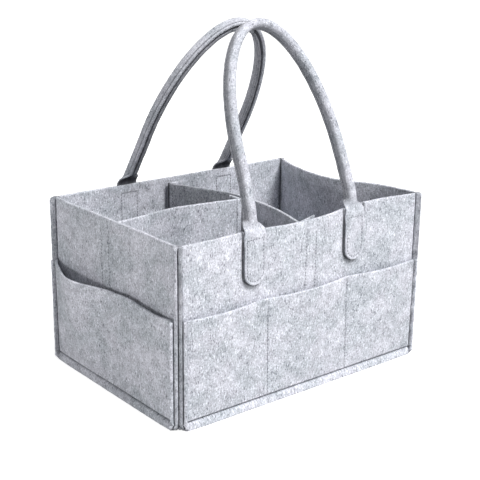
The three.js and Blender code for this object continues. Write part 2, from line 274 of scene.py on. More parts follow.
@dataclass(frozen=True)
class FeltFinish:
    """Needle felt: a mottled mat of light and dark fibres."""

    name: str = "mottled_grey_felt"
    dark: Colour = srgb(88, 91, 99)
    light: Colour = srgb(246, 248, 255)
    cool: Colour = srgb(110, 134, 140)
    warm: Colour = srgb(138, 124, 146)
    # painted shade: the colour that the felt is darkened toward where shade falls
    shade_colour: Colour = srgb(40, 42, 48)
    contrast: float = 1.0
    middle_tone: float = 0.55
    mottle_scale: float = 560.0
    mottle_detail: float = 4.0
    mottle_weight: float = 1.1
    mottle_relief: float = 0.7
    cloud_scale: float = 95.0
    cloud_detail: float = 3.0
    cloud_weight: float = 0.6
    patch_scale: float = 24.0
    patch_detail: float = 2.0
    patch_weight: float = 0.5
    tint_band: tuple[float, float] = (0.36, 0.64)
    tint_weight: float = 0.3
    fibre_scale: float = 880.0
    fibre_detail: float = 2.0
    fibre_stretch: float = 0.28
    light_turns: tuple[float, float] = (0.5, -1.2)
    light_band: tuple[float, float] = (0.57, 0.72)
    light_weight: float = 0.42
    light_relief: float = 0.5
    dark_turns: tuple[float, float] = (1.35, -0.35)
    dark_band: tuple[float, float] = (0.57, 0.73)
    dark_weight: float = 0.44
    dark_relief: float = 0.4
    noise_roughness: float = 0.62
    roughness: float = 0.97
    sheen: float = 0.12
    specular: float = 0.2
    nap: float = 0.35 * MM
    nap_strength: float = 0.7

    def cloud(self, graph: Graph, place: Value, scale: float, detail: float) -> Value:
        """Returns noise of one scale over the blank."""
        sockets = {"Vector": place, "Scale": scale, "Detail": detail, "Roughness": self.noise_roughness}
        return graph.add("ShaderNodeTexNoise", {}, sockets)

    def fibres(self, graph: Graph, cut: Value, turn: float) -> Value:
        """Adds one direction of fibres.

        Args:
            graph: The material's nodes.
            cut: Place on the flat blank.
            turn: Direction of the fibres on the blank, in radians.

        Returns:
            Noise that is drawn out along the fibres.
        """
        laid = graph.add("ShaderNodeMapping", {"vector_type": "POINT"}, {
            "Vector": cut,
            "Location": (turn, turn / 2, turn / 3),
            "Rotation": (0.0, 0.0, turn),
            "Scale": (1.0, self.fibre_stretch, 1.0),
        })
        return self.cloud(graph, laid, self.fibre_scale, self.fibre_detail)

    def strands(
        self, graph: Graph, cut: Value, turns: tuple[float, float], band: tuple[float, float],
    ) -> Value:
        """Adds two directions of fibres of one tone.

        Args:
            graph: The material's nodes.
            cut: Place on the flat blank.
            turns: The two directions on the blank, in radians.
            band: Where the noise starts and ends to be a fibre.

        Returns:
            1 on a fibre and 0 beside it.
        """
        first, second = (self.fibres(graph, cut, turn) for turn in turns)
        return first.maximum(second).between(*band)

    def material(self) -> bpy.types.Material:
        """Makes the felt's material.

        Returns:
            The material, which reads each piece's own cut attribute.
        """
        material = bpy.data.materials.new(self.name)
        graph = Graph(material)
        cut = graph.add("ShaderNodeAttribute", {"attribute_name": CUT_ATTRIBUTE}, {}, output="Vector")
        mottle = self.cloud(graph, cut, self.mottle_scale, self.mottle_detail)
        cloudy = self.cloud(graph, cut, self.cloud_scale, self.cloud_detail)
        patch = self.cloud(graph, cut, self.patch_scale, self.patch_detail)
        light = self.strands(graph, cut, self.light_turns, self.light_band)
        dark = self.strands(graph, cut, self.dark_turns, self.dark_band)
        grain = (mottle - NOISE_MIDDLE) * self.mottle_weight + (cloudy - NOISE_MIDDLE) * self.cloud_weight
        grain = grain + light * self.light_weight - dark * self.dark_weight
        tone = self.middle_tone + (patch - NOISE_MIDDLE) * self.patch_weight + grain * self.contrast
        shade = graph.mix(tone, self.dark, self.light)
        wool = graph.mix(patch.between(*self.tint_band), self.cool, self.warm)
        colour = graph.mix(self.tint_weight, shade, wool, "SOFT_LIGHT")
        # painted shade: each piece's shade attribute darkens the felt toward the shade colour in creases,
        # folds, hollows and along seams
        pressed = graph.add("ShaderNodeAttribute", {"attribute_name": SHADE_ATTRIBUTE}, {}, output="Fac")
        colour = graph.mix(pressed, colour, self.shade_colour)
        height = mottle * self.mottle_relief + light * self.light_relief - dark * self.dark_relief
        normal = graph.add("ShaderNodeBump", {}, {
            "Strength": self.nap_strength, "Distance": self.nap, "Height": height,
        })
        surface = graph.add("ShaderNodeBsdfPrincipled", {}, {
            "Base Color": colour, "Roughness": self.roughness, "Normal": normal,
            "Sheen Weight": self.sheen, "Specular IOR Level": self.specular,
        })
        graph.node("ShaderNodeOutputMaterial", {}, {"Surface": surface})
        return material


@dataclass(frozen=True)
class ThreadFinish:
    """Spun sewing thread, with its twist."""

    name: str = "grey_thread"
    dark: Colour = srgb(66, 68, 76)
    light: Colour = srgb(128, 130, 139)
    twist_scale: float = 1500.0
    twist_detail: float = 2.0
    twist_band: tuple[float, float] = (0.35, 0.65)
    twist_depth: float = 0.1 * MM
    twist_strength: float = 0.5
    roughness: float = 0.75
    sheen: float = 0.1

    def material(self) -> bpy.types.Material:
        """Makes the thread's material.

        Returns:
            The material, with the twist in Object coordinates.
        """
        material = bpy.data.materials.new(self.name)
        graph = Graph(material)
        place = graph.add("ShaderNodeTexCoord", {}, {}, output="Object")
        ply = graph.add("ShaderNodeTexNoise", {}, {
            "Vector": place, "Scale": self.twist_scale, "Detail": self.twist_detail,
        })
        colour = graph.mix(ply.between(*self.twist_band), self.dark, self.light)
        normal = graph.add("ShaderNodeBump", {}, {
            "Strength": self.twist_strength, "Distance": self.twist_depth, "Height": ply,
        })
        surface = graph.add("ShaderNodeBsdfPrincipled", {}, {
            "Base Color": colour, "Roughness": self.roughness, "Normal": normal, "Sheen Weight": self.sheen,
        })
        graph.node("ShaderNodeOutputMaterial", {}, {"Surface": surface})
        return material


@dataclass(frozen=True)
class TapeFinish:
    """Hook or loop tape: a woven ground with a brushed or moulded face."""

    name: str
    dark: Colour
    light: Colour
    roughness: float
    weave_scale: float = 1400.0
    weave_weight: float = 0.9
    patchiness_scale: float = 120.0
    wear_detail: float = 3.0
    wear_weight: float = 0.5
    pile: float = 0.25 * MM
    pile_strength: float = 0.8

    def material(self) -> bpy.types.Material:
        """Makes the tape's material.

        Returns:
            The material, which reads each tape's own cut attribute.
        """
        material = bpy.data.materials.new(self.name)
        graph = Graph(material)
        cut = graph.add("ShaderNodeAttribute", {"attribute_name": CUT_ATTRIBUTE}, {}, output="Vector")
        weave = {"Vector": cut, "Scale": self.weave_scale}
        loops = graph.add("ShaderNodeTexVoronoi", {"feature": "F1"}, weave)
        patchiness = graph.add("ShaderNodeTexNoise", {}, {
            "Vector": cut, "Scale": self.patchiness_scale, "Detail": self.wear_detail,
        })
        tone = loops * self.weave_weight + (patchiness - NOISE_MIDDLE) * self.wear_weight
        colour = graph.mix(tone, self.dark, self.light)
        normal = graph.add("ShaderNodeBump", {}, {
            "Strength": self.pile_strength, "Distance": self.pile, "Height": loops,
        })
        surface = graph.add("ShaderNodeBsdfPrincipled", {}, {
            "Base Color": colour, "Roughness": self.roughness, "Normal": normal,
        })
        graph.node("ShaderNodeOutputMaterial", {}, {"Surface": surface})
        return material


FELT = FeltFinish()
STRETCHED_FELT = FeltFinish("stretched_felt", contrast=0.85)
THREAD = ThreadFinish()
LOOP_TAPE = TapeFinish("brushed_loop_tape", srgb(150, 151, 158), srgb(205, 205, 212), roughness=0.95)
HOOK_TAPE = TapeFinish("moulded_hook_tape", srgb(140, 142, 149), srgb(190, 191, 198), roughness=0.55)


class Wardrobe:
    """The materials, each made once."""

    def __init__(self) -> None:
        """Makes every material."""
        self.strap = STRETCHED_FELT.material()
        self.slots = {
            Slot.FELT: FELT.material(),
            Slot.THREAD: THREAD.material(),
            Slot.LOOP_TAPE: LOOP_TAPE.material(),
            Slot.HOOK_TAPE: HOOK_TAPE.material(),
        }

    def of(self, slot: Slot) -> bpy.types.Material:
        """Returns the material of a slot."""
        return self.slots[slot]


@dataclass(frozen=True)
class Pattern:
    """Sizes of the sewn box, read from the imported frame."""

    felt: float
    half_length: float
    half_width: float
    wall_top: float
    pocket_top: float
    fin: float
    strap_width: float
    tab_middle: float
    tab_bottom: float
    tab_seam: float

    @classmethod
    def read(cls) -> "Pattern":
        """Measures the frame's nodes.

        Returns:
            The pattern.
        """
        floor_low, floor_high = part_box("base_panel")
        _, front_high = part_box("front_wall")
        _, left_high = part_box("left_wall")
        _, pocket_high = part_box("front_pocket")
        tab_low, tab_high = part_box("front_handle_right_tab")
        hinge = next(joint for joint in frame["joints"] if joint["name"] == "front_handle_swing")
        half_length = -left_high.x - CLEARANCE / 2
        return cls(
            felt=floor_high.z - floor_low.z,
            half_length=half_length,
            half_width=-front_high.y - CLEARANCE / 2,
            wall_top=front_high.z,
            pocket_top=pocket_high.z,
            fin=(front_high.x - half_length) * math.sqrt(2) + CLEARANCE / 2,
            strap_width=tab_high.x - tab_low.x,
            tab_middle=(tab_low.x + tab_high.x) / 2,
            tab_bottom=tab_low.z,
            tab_seam=hinge["pos_m"][2],
        )

    def middle_of(self, layer: Layer) -> float:
        """Returns how far the middle of a layer lies out of the seam line."""
        return CLEARANCE / 2 + self.felt / 2 + layer.value * (self.felt + CLEARANCE)


def select_only(piece: bpy.types.Object | None) -> None:
    """Deselects everything, then selects one piece and makes it active.

    Args:
        piece: The piece, or None to leave nothing selected.
    """
    bpy.ops.object.select_all(action="DESELECT")
    if piece is not None:
        piece.select_set(True)
        bpy.context.view_layer.objects.active = piece


@dataclass
class Maker:
    """Puts finished meshes into the scene, dressed in their materials."""

    wardrobe: Wardrobe

    def piece(self, name: str, mesh: bpy.types.Mesh, slot: Slot) -> bpy.types.Object:
        """Links a mesh as a piece with its finish.

        Args:
            name: The piece's name.
            mesh: Its mesh, in place.
            slot: Its material slot.

        Returns:
            The new object.
        """
        mesh.polygons.foreach_set("use_smooth", [True] * len(mesh.polygons))
        mesh.materials.append(self.wardrobe.of(slot))
        made = bpy.data.objects.new(name, mesh)
        bpy.context.scene.collection.objects.link(made)
        LOG.info("%s: %d faces", name, len(mesh.polygons))
        return made


def square_cut(across: float, up: float) -> tuple[float, float]:
    """Leaves a point of a blank where it is."""
    return across, up


def unshaded(across: float, up: float, depth: float) -> float:
    """Returns no painted shade at any point of a blank."""
    return 0.0


@dataclass
class Blank:
    """A flat piece of felt with raw, slightly rounded edges, laid in its place by a function."""

    name: str
    columns: list[float]
    rows: list[float]
    lay: Lay
    thickness: float
    trim: Trim = square_cut
    seed: float = 0.0
    # painted shade of each point, standing for the shade in creases, folds and seams
    painted_shade: ShadeFunction = unshaded
    edge: float = 1.0 * MM
    fray: float = 0.3 * MM
    fray_scale: float = 130.0
    fray_seed: float = 7.0
    nap: float = 0.14 * MM
    nap_scale: float = 240.0
    nap_change: float = 40.0
    sharpest: float = 0.6

    def border(self) -> list[tuple[int, int]]:
        """Walks round the grid.

        Returns:
            The column and row of each place on its border, anticlockwise.
        """
        last, top = len(self.columns) - 1, len(self.rows) - 1
        foot = [(i, 0) for i in range(last)]
        right = [(last, j) for j in range(top)]
        head = [(i, top) for i in range(last, 0, -1)]
        left = [(0, j) for j in range(top, 0, -1)]
        return foot + right + head + left

    def rim(self) -> list[tuple[float, float]]:
        """Draws the section of the raw edge.

        Returns:
            How far each of its points stands out, and at what depth, from the outer face to the inner.
        """
        flat = self.thickness / 2 - self.edge
        slant = self.edge * math.sqrt(0.5)
        return [(slant, flat + slant), (self.edge, flat), (self.edge, -flat), (slant, -flat - slant)]

    def outward(self, before: Vector, here: Vector, after: Vector) -> Vector:
        """Finds the way out of an anticlockwise outline.

        Args:
            before: The point before this one.
            here: The point.
            after: The point after it.

        Returns:
            The direction, made longer at a corner so that both of its sides move out alike.
        """
        first, second = (here - before).normalized(), (after - here).normalized()
        normal = Vector((first.y + second.y, -first.x - second.x))
        return normal / max(self.sharpest, normal.length_squared / 2)

    def mesh(self) -> bpy.types.Mesh:
        """Cuts the blank and lays it.

        Returns:
            Its closed mesh, with the cut attribute and the painted shade attribute.
        """
        places: list[Vector] = []
        cuts: list[Vector] = []
        painted_shades: list[float] = []
        faces: list[tuple[int, ...]] = []

        def place(across: float, up: float, depth: float) -> int:
            """Lays one point.

            Args:
                across: Its place across the blank.
                up: Its place up the blank.
                depth: Its place through the felt.

            Returns:
                Its number in the mesh.
            """
            slice_seed = self.seed + self.nap_change * depth / self.thickness
            bump = self.nap * ripple(across * self.nap_scale, up * self.nap_scale, slice_seed)
            lifted = depth + bump * clamp(abs(depth) / self.thickness * 2)
            places.append(self.lay(across, up, lifted))
            cuts.append(Vector((across + self.seed, up + self.seed / 3, depth)))
            painted_shades.append(clamp(self.painted_shade(across, up, depth)))
            return len(places) - 1

        flat = [[Vector(self.trim(across, up)) for up in self.rows] for across in self.columns]
        half = self.thickness / 2
        outer = [[place(point.x, point.y, half) for point in column] for column in flat]
        inner = [[place(point.x, point.y, -half) for point in column] for column in flat]
        for i in range(len(self.columns) - 1):
            for j in range(len(self.rows) - 1):
                corners = [(i, j), (i + 1, j), (i + 1, j + 1), (i, j + 1)]
                faces.append(tuple(outer[a][b] for a, b in corners))
                faces.append(tuple(inner[a][b] for a, b in reversed(corners)))
        ring = self.border()
        outline = [flat[i][j] for i, j in ring]
        loops = [[outer[i][j] for i, j in ring]]
        for out, depth in self.rim():
            loop = []
            for k, here in enumerate(outline):
                way = self.outward(outline[k - 1], here, outline[(k + 1) % len(outline)])
                x, y = here.x * self.fray_scale, here.y * self.fray_scale
                frayed = here + way * (out + self.fray * ripple(x, y, self.seed + self.fray_seed))
                loop.append(place(frayed.x, frayed.y, depth))
            loops.append(loop)
        loops.append([inner[i][j] for i, j in ring])
        for upper, lower in zip(loops, loops[1:]):
            for k in range(len(ring)):
                after = (k + 1) % len(ring)
                faces.append((upper[k], lower[k], lower[after], upper[after]))
        mesh = self.closed(places, cuts, faces)
        attribute = mesh.attributes.new(SHADE_ATTRIBUTE, "FLOAT", "POINT")
        attribute.data.foreach_set("value", painted_shades)
        return mesh

    def closed(
        self, places: list[Vector], cuts: list[Vector], faces: list[tuple[int, ...]],
    ) -> bpy.types.Mesh:
        """Makes a mesh with its faces pointing out and its cut attribute.

        Args:
            places: The laid points.
            cuts: Their places on the blank.
            faces: The faces' corners.

        Returns:
            The mesh.
        """
        mesh = bpy.data.meshes.new(self.name)
        mesh.from_pydata(places, [], faces)
        work = bmesh.new()
        work.from_mesh(mesh)
        bmesh.ops.recalc_face_normals(work, faces=work.faces)
        work.to_mesh(mesh)
        work.free()
        attribute = mesh.attributes.new(CUT_ATTRIBUTE, "FLOAT_VECTOR", "POINT")
        attribute.data.foreach_set("vector", [value for cut in cuts for value in cut])
        return mesh


@dataclass
class SeamLine:
    """A line of stitches over a laid blank: points on the blank, at one depth."""

    lay: Lay
    depth: float
    points: list[tuple[float, float]]

    def walk(self, pitch: float) -> list[tuple[Vector, Vector, Vector]]:
        """Paces out the line.

        Args:
            pitch: Length of a step.

        Returns:
            For each stitch its place, its direction and the way up from the felt.
        """
        corners = [Vector(point) for point in self.points]
        lengths = [(b - a).length for a, b in zip(corners, corners[1:])]
        total = sum(lengths)
        count = max(1, round(total / pitch))
        found = []
        for k in range(count):
            left = total * (k + 0.5) / count
            i = 0
            while i < len(lengths) - 1 and left > lengths[i]:
                left -= lengths[i]
                i += 1
            way = (corners[i + 1] - corners[i]).normalized()
            here = corners[i] + way * left
            found.append(self.station(here, way))
        return found

    def station(self, here: Vector, way: Vector) -> tuple[Vector, Vector, Vector]:
        """Finds where one stitch lies.

        Args:
            here: Its place on the blank.
            way: The direction of the line there.

        Returns:
            Its place, its direction and the way up from the felt.
        """
        place = self.lay(here.x, here.y, self.depth)
        ahead, behind = here + way * PROBE, here - way * PROBE
        along = self.lay(ahead.x, ahead.y, self.depth) - self.lay(behind.x, behind.y, self.depth)
        out = math.copysign(PROBE, self.depth)
        up = self.lay(here.x, here.y, self.depth + out) - place
        return place, along.normalized(), up.normalized()


@dataclass
class Sewing:
    """Sews rows of lockstitch: one stitch is modelled, and every row is copies of it."""

    maker: Maker
    pitch: float = 3.3 * MM
    length: float = 2.7 * MM
    width: float = 0.85 * MM
    height: float = 0.75 * MM
    dive: float = 0.3 * MM
    sides: int = 6
    end_share: float = 0.3
    skew: float = 0.12
    unevenness: float = 0.08
    stitch: bpy.types.Mesh | None = None

    def model_stitch(self) -> None:
        """Models one stitch: a rounded grain of thread whose ends dive into the felt."""
        select_only(None)
        bpy.ops.mesh.primitive_uv_sphere_add(segments=self.sides, ring_count=self.sides, radius=0.5)
        grain = bpy.context.active_object
        bpy.ops.object.mode_set(mode="EDIT")
        bpy.ops.mesh.select_all(action="SELECT")
        bpy.ops.transform.rotate(value=math.pi / 2, orient_axis="Y", center_override=(0, 0, 0))
        bpy.ops.transform.resize(value=(self.length, self.width, self.height), center_override=(0, 0, 0))
        bpy.ops.mesh.select_all(action="DESELECT")
        bpy.ops.object.mode_set(mode="OBJECT")
        ends = self.end_share * self.length
        for point in grain.data.vertices:
            point.select = abs(point.co.x) > ends
        bpy.ops.object.mode_set(mode="EDIT")
        bpy.ops.transform.translate(value=(0, 0, -self.dive))
        bpy.ops.object.mode_set(mode="OBJECT")
        self.stitch = grain.data.copy()
        bpy.data.objects.remove(grain)

    def row(
        self, name: str, lines: Sequence[SeamLine], body: Body, replaced: Sequence[str] = (),
    ) -> None:
        """Sews one piece of stitching.

        Args:
            name: The piece's name.
            lines: The lines that it follows.
            body: The body that it rides on.
            replaced: Nodes of the frame that it stands for.
        """
        draw = random.Random(name)
        places: list[Vector] = []
        faces: list[tuple[int, ...]] = []
        shape = [point.co.copy() for point in self.stitch.vertices]
        sides = [tuple(face.vertices) for face in self.stitch.polygons]
        for line in lines:
            for place, along, up in line.walk(self.pitch):
                across = up.cross(along).normalized()
                skew = draw.uniform(-self.skew, self.skew)
                along = (along + across * skew).normalized()
                across = up.cross(along)
                first = len(places)
                stretch = draw.uniform(1 - self.unevenness, 1 + self.unevenness)
                places += [place + along * (p.x * stretch) + across * p.y + up * p.z for p in shape]
                faces += [tuple(first + corner for corner in side) for side in sides]
        mesh = bpy.data.meshes.new(name)
        mesh.from_pydata(places, [], faces)
        made = self.maker.piece(name, mesh, Slot.THREAD)
        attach(made, body.value)
        if replaced:
            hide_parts(*replaced)


@dataclass
class PlanPath:
    """A line on the floor plan: straight runs joined by arcs."""

    corners: list[Vector]
    radii: list[float]
    pieces: list[tuple[float, float, Vector, float, float]] = field(default_factory=list)

    def __post_init__(self) -> None:
        """Works out each run and arc as its start, length, first point, heading and curvature."""
        run = 0.0
        here = self.corners[0]
        headings = [math.atan2(b.y - a.y, b.x - a.x) for a, b in zip(self.corners, self.corners[1:])]
        for i, heading in enumerate(headings):
            reach, turn, radius = 0.0, 0.0, 0.0
            if i < len(self.radii):
                turn = math.remainder(headings[i + 1] - heading, math.tau)
                radius = self.radii[i]
                reach = radius * math.tan(abs(turn) / 2)
            straight = (self.corners[i + 1] - here).length - reach
            self.pieces.append((run, straight, here, heading, 0.0))
            run += straight
            here = here + Vector((math.cos(heading), math.sin(heading))) * straight
            if turn:
                bend = radius * abs(turn)
                self.pieces.append((run, bend, here, heading, math.copysign(1 / radius, turn)))
                run += bend
                after = headings[i + 1]
                here = self.corners[i + 1] + Vector((math.cos(after), math.sin(after))) * reach
        self.length = run

    def at(self, run: float) -> tuple[Vector, Vector]:
        """Finds a place on the path.

        Args:
            run: Distance along it.

        Returns:
            The point and the direction to the right of the way.
        """
        start, _, here, heading, curve = next(
            (piece for piece in self.pieces if run <= piece[0] + piece[1]), self.pieces[-1])
        ahead = run - start
        if curve == 0:
            point = here + Vector((math.cos(heading), math.sin(heading))) * ahead
            return point, Vector((math.sin(heading), -math.cos(heading)))
        now = heading + curve * ahead
        step = Vector((math.sin(now) - math.sin(heading), math.cos(heading) - math.cos(now)))
        return here + step / curve, Vector((math.sin(now), -math.cos(now)))

    def bends(self) -> list[float]:
        """Returns where the arcs start, middle and end."""
        return [start + length * share for start, length, _, _, curve in self.pieces if curve
                for share in (0, 0.5, 1)]


@dataclass(frozen=True)
class Swell:
    """A soft rise in the top edge of a wall, or a fall where it is negative."""

    place: float
    reach: float
    rise: float


@dataclass
class BoxSide:
    """One side of the box, seen as the front: a wall, its pocket, their corner fins and their foot."""

    name: str
    turn: float
    half: float
    distance: float
    pattern: Pattern
    seams: tuple[float, ...] = ()
    tape_rows: tuple[float, ...] = ()
    bow: float = 0.0
    swells: tuple[Swell, ...] = ()
    seed: float = 0.0
    pitch: float = 3.0 * MM
    fin_trim: float = 0.0
    corner_radius: float = 1.2 * MM
    corner_squeeze: float = 0.5
    corner_reach: float = 1.3 * MM
    tuck_reach: float = 2.5 * MM
    tuck_gap: float = 0.7 * CLEARANCE
    splay: float = 1.0 * MM
    groove_height: float = 8.0 * MM
    flare: float = math.tan(math.radians(20))
    corner_flare: float = 0.75
    foot_squeeze: float = 0.34
    seam_squeeze: float = 0.1
    tape_squeeze: float = 0.12
    squeeze_reach: float = 1.0 * MM
    mouth_start: float = 1 * MM
    mouth_end: float = 5 * MM
    held_reach: float = 2 * MM
    free_reach: float = 30 * MM
    free_height: float = 60 * MM
    wave: float = 1.1 * MM
    wave_scale: tuple[float, float] = (11.0, 9.0)
    top_wave: float = 0.7 * MM
    top_wave_scale: tuple[float, float] = (17.0, 3.0)
    round_top: float = 4.5 * MM
    round_pocket: float = 1.5 * MM
    chamfer: float = 5.0 * MM
    tab_curve: float = 4 * MM
    # painted shade of the fins, corner creases, seams, foot groove and tapes, standing for the shade that
    # falls there
    fin_shade: float = 0.4
    fin_reach: float = 1.5 * MM
    tip_shade: float = 0.0
    tip_reach: float = 2.5 * MM
    tip_edge: float = 1.0 * MM
    shade_patchiness: float = 0.7
    patchiness_scale: float = 150.0
    seam_shade: float = 0.85
    foot_shade: float = 0.75
    row_shade: float = 0.22
    tape_shade: float = 0.08
    shade_reach: float = 0.8 * MM
    inner_reach: float = 2.4 * MM

    def __post_init__(self) -> None:
        """Draws the seam line of each layer on the plan, with a tight bend in the layer's outer face."""
        step = self.pattern.fin / math.sqrt(2)
        corners = [
            Vector((-self.half - step, -self.distance - step)), Vector((-self.half, -self.distance)),
            Vector((self.half, -self.distance)), Vector((self.half + step, -self.distance - step)),
        ]
        self.paths: dict[Layer, PlanPath] = {}
        self.roots: dict[Layer, float] = {}
        self.tucks: dict[Layer, float] = {}
        half_bend = math.pi / 8
        for layer in Layer:
            bend = self.pattern.middle_of(layer) + self.pattern.felt / 2 + self.corner_radius
            self.paths[layer] = PlanPath(corners, [bend] * 2)
            self.roots[layer] = self.paths[layer].bends()[-2] - self.end(layer)
            self.tucks[layer] = bend * (1 / math.cos(half_bend) - 1) + self.tuck_gap
        self.round = Matrix.Rotation(self.turn, 3, "Z")

    def end(self, layer: Layer) -> float:
        """Returns the run from the middle of the side to the end of a layer's seam line."""
        return self.paths[layer].length / 2

    def tip(self, layer: Layer) -> float:
        """Returns the run from the middle of the side to the cut edge of a layer's fin."""
        return self.end(layer) - self.fin_trim

    def root(self, layer: Layer) -> float:
        """Returns the run from the middle of the side to the corner seam, where the fin starts."""
        return self.roots[layer]

    def edge_lift(self, layer: Layer, run: float) -> float:
        """Tells how far a layer's top edge rises above its level.

        Args:
            layer: The wall, which has the swells, or the pocket.
            run: Place along the side.

        Returns:
            The rise.
        """
        along, step = self.top_wave_scale
        wave = self.top_wave * ripple(run * along, step * layer.value, self.seed)
        swell = sum(swell.rise * dip(run - swell.place, swell.reach) for swell in self.swells)
        return wave + swell * (1 - layer.value)

    def bulge(self, run: float, height: float) -> float:
        """Returns how far the pocket gapes from the wall."""
        return 0.0

    def fullness(self, height: float, top: float) -> float:
        """Returns the share of the way from the foot up to a top edge."""
        return clamp((height - self.groove_height) / (top - self.groove_height))

    def inside(self, run: float) -> float:
        """Returns 1 on the flat of the side, falling to 0 at its corner seams."""
        return ease(self.half - abs(run), self.held_reach, self.free_reach)

    def below_mouth(self, height: float) -> float:
        """Returns 1 where a pocket covers the wall, falling to 0 at its mouth."""
        return ease(self.pattern.pocket_top - height, self.mouth_start, self.mouth_end)

    def slackness(self, run: float) -> float:
        """Returns the share of the bow at one place along a slack wall."""
        return 0.0

    def drift(self, run: float, height: float) -> float:
        """Tells how far the whole side stands out of its plane: slack, sag and the slant of its foot.

        Args:
            run: Place along the side.
            height: Place up the side.

        Returns:
            The distance outward.
        """
        across, up = self.wave_scale
        free = self.inside(run) * ease(height, 0, self.free_height)
        slack = self.wave * ripple(run * across, height * up, self.seed) * free
        sag = -self.bow * self.slackness(run) * self.fullness(height, self.pattern.wall_top)
        below = max(0.0, self.groove_height - height)
        foot = self.flare * below * (self.corner_flare + (1 - self.corner_flare) * self.inside(run))
        return slack + sag + foot

    def squeeze(self, layer: Layer, run: float, height: float) -> float:
        """Tells the share of its thickness that the felt loses under the thread of a seam.

        Args:
            layer: The wall or the pocket.
            run: Place along the side.
            height: Place up the side.

        Returns:
            The share, from 0 to 1.
        """
        low = self.below_mouth(height)
        pressed = self.corner_squeeze * dip(abs(run) - self.root(layer), self.corner_reach)
        pressed = max(pressed, self.foot_squeeze * dip(height - self.groove_height, self.squeeze_reach))
        for seam in self.seams:
            pressed = max(pressed, low * self.seam_squeeze * dip(run - seam, self.squeeze_reach))
        for row in self.tape_rows:
            pressed = max(pressed, (1 - low) * self.tape_squeeze * dip(run - row, self.squeeze_reach))
        return pressed

    def level_marks(self) -> list[float]:
        """Returns the heights beside which the rows of a blank lie closer together."""
        p = self.pattern
        return [self.groove_height, p.tab_seam, p.tab_bottom, p.tab_bottom + self.tab_curve]

    def upright_marks(self) -> list[float]:
        """Returns the runs, seams apart, beside which the columns of a blank lie closer together."""
        return [*self.tape_rows]

    def tab_stitch_shade(self, run: float, height: float) -> float:
        """Returns the painted shade along the stitches of the handle's tabs, on the inside of the wall."""
        return 0.0

    def tab_contact_shadow(self, run: float, height: float) -> float:
        """Returns how dark the painted contact shadow is where the edge of a handle's tab lies against the
        wall.
        """
        return 0.0

    def painted_fin_shade(self, layer: Layer, run: float, height: float) -> float:
        """Tells how dark the painted shade on a corner fin is, standing for the shade beside the seam and on
        the raw edge.

        Args:
            layer: The wall or the pocket.
            run: Place along the side.
            height: Place up the side.

        Returns:
            The darkness, uneven along the fin and 0 on the flat of the side.
        """
        root, tip = self.root(layer), self.tip(layer)
        tip_shade = self.tip_shade if layer is Layer.WALL else 0.0
        edge = ease(abs(run), tip - self.tip_reach, tip - self.tip_edge)
        patchiness = 1 + self.shade_patchiness * ripple(height * self.patchiness_scale, run * self.patchiness_scale, self.seed)
        shade = self.fin_shade * (1 - edge) + tip_shade * edge
        return shade * ease(abs(run), root, root + self.fin_reach) * patchiness

    def painted_shade(self, layer: Layer, run: float, height: float, depth: float) -> float:
        """Tells how much painted shade a layer gets at one point.

        Args:
            layer: The wall or the pocket.
            run: Place along the side.
            height: Place up the side.
            depth: Place through the felt, above 0 on its outer face.

        Returns:
            The darkest painted shade there: the creases of the corner seams, the fins, the stitched seams,
                the foot groove and the handle's tabs.
        """
        low = self.below_mouth(height)
        reach = self.shade_reach if depth > 0 else self.inner_reach
        corner = self.seam_shade * dip(abs(run) - self.root(layer), reach)
        found = [corner, self.painted_fin_shade(layer, run, height)]
        for seam in self.seams:
            found.append(low * self.row_shade * dip(run - seam, self.shade_reach))
        for row in self.tape_rows:
            found.append((1 - low) * self.tape_shade * dip(run - row, self.shade_reach))
        if depth > 0:
            found.append(self.foot_shade * dip(height - self.groove_height, self.shade_reach))
        if depth > 0 and layer is Layer.WALL:
            found.append(self.tab_contact_shadow(run, height))
        if depth < 0:
            found.append(self.tab_stitch_shade(run, height))
        return max(found)

    def place(self, layer: Layer, run: float, height: float, depth: float) -> Vector:
        """Lays one point of a layer.

        Args:
            layer: The wall or the pocket.
            run: Place along the side.
            height: Place up the side.
            depth: Place through the felt.

        Returns:
            The point.
        """
        end, root = self.end(layer), self.root(layer)
        point, normal = self.paths[layer].at(clamp(run, -end, end) + end)
        thickness = 1 - self.squeeze(layer, run, height)
        out = (self.pattern.middle_of(layer) + depth) * thickness + self.drift(run, height)
        out += self.splay * (layer.value + 0.5) * ease(abs(run), root, end)
        out -= self.tucks[layer] * dip(abs(run) - root, self.tuck_reach)
        if layer is Layer.POCKET:
            out += self.bulge(run, height)
        spot = point + normal * out
        return self.round @ Vector((spot.x, spot.y, height))

    def lay(self, layer: Layer) -> Lay:
        """Returns the function that lays a point of one layer."""
        return partial(self.place, layer)

    def top(self, layer: Layer) -> float:
        """Returns the height of a layer's top edge."""
        return self.pattern.wall_top if layer is Layer.WALL else self.pattern.pocket_top

    def cut(self, layer: Layer, run: float, share: float) -> tuple[float, float]:
        """Cuts the outline of a layer: round upper corners, chamfered lower corners, a waved top edge.

        Args:
            layer: The wall or the pocket.
            run: Place along the side.
            share: Place up the side, from 0 at the foot to 1 at the top edge.

        Returns:
            The run and the height of that point.
        """
        end, top = self.tip(layer), self.top(layer)
        radius = self.round_top if layer is Layer.WALL else self.round_pocket
        past = max(0.0, abs(run) - end + radius)
        drop = radius - math.sqrt(max(0.0, radius ** 2 - past ** 2))
        low = Blank.edge + max(0.0, abs(run) - end + self.chamfer)
        high = top - Blank.edge - drop + self.edge_lift(layer, run)
        return run, low + (high - low) * share

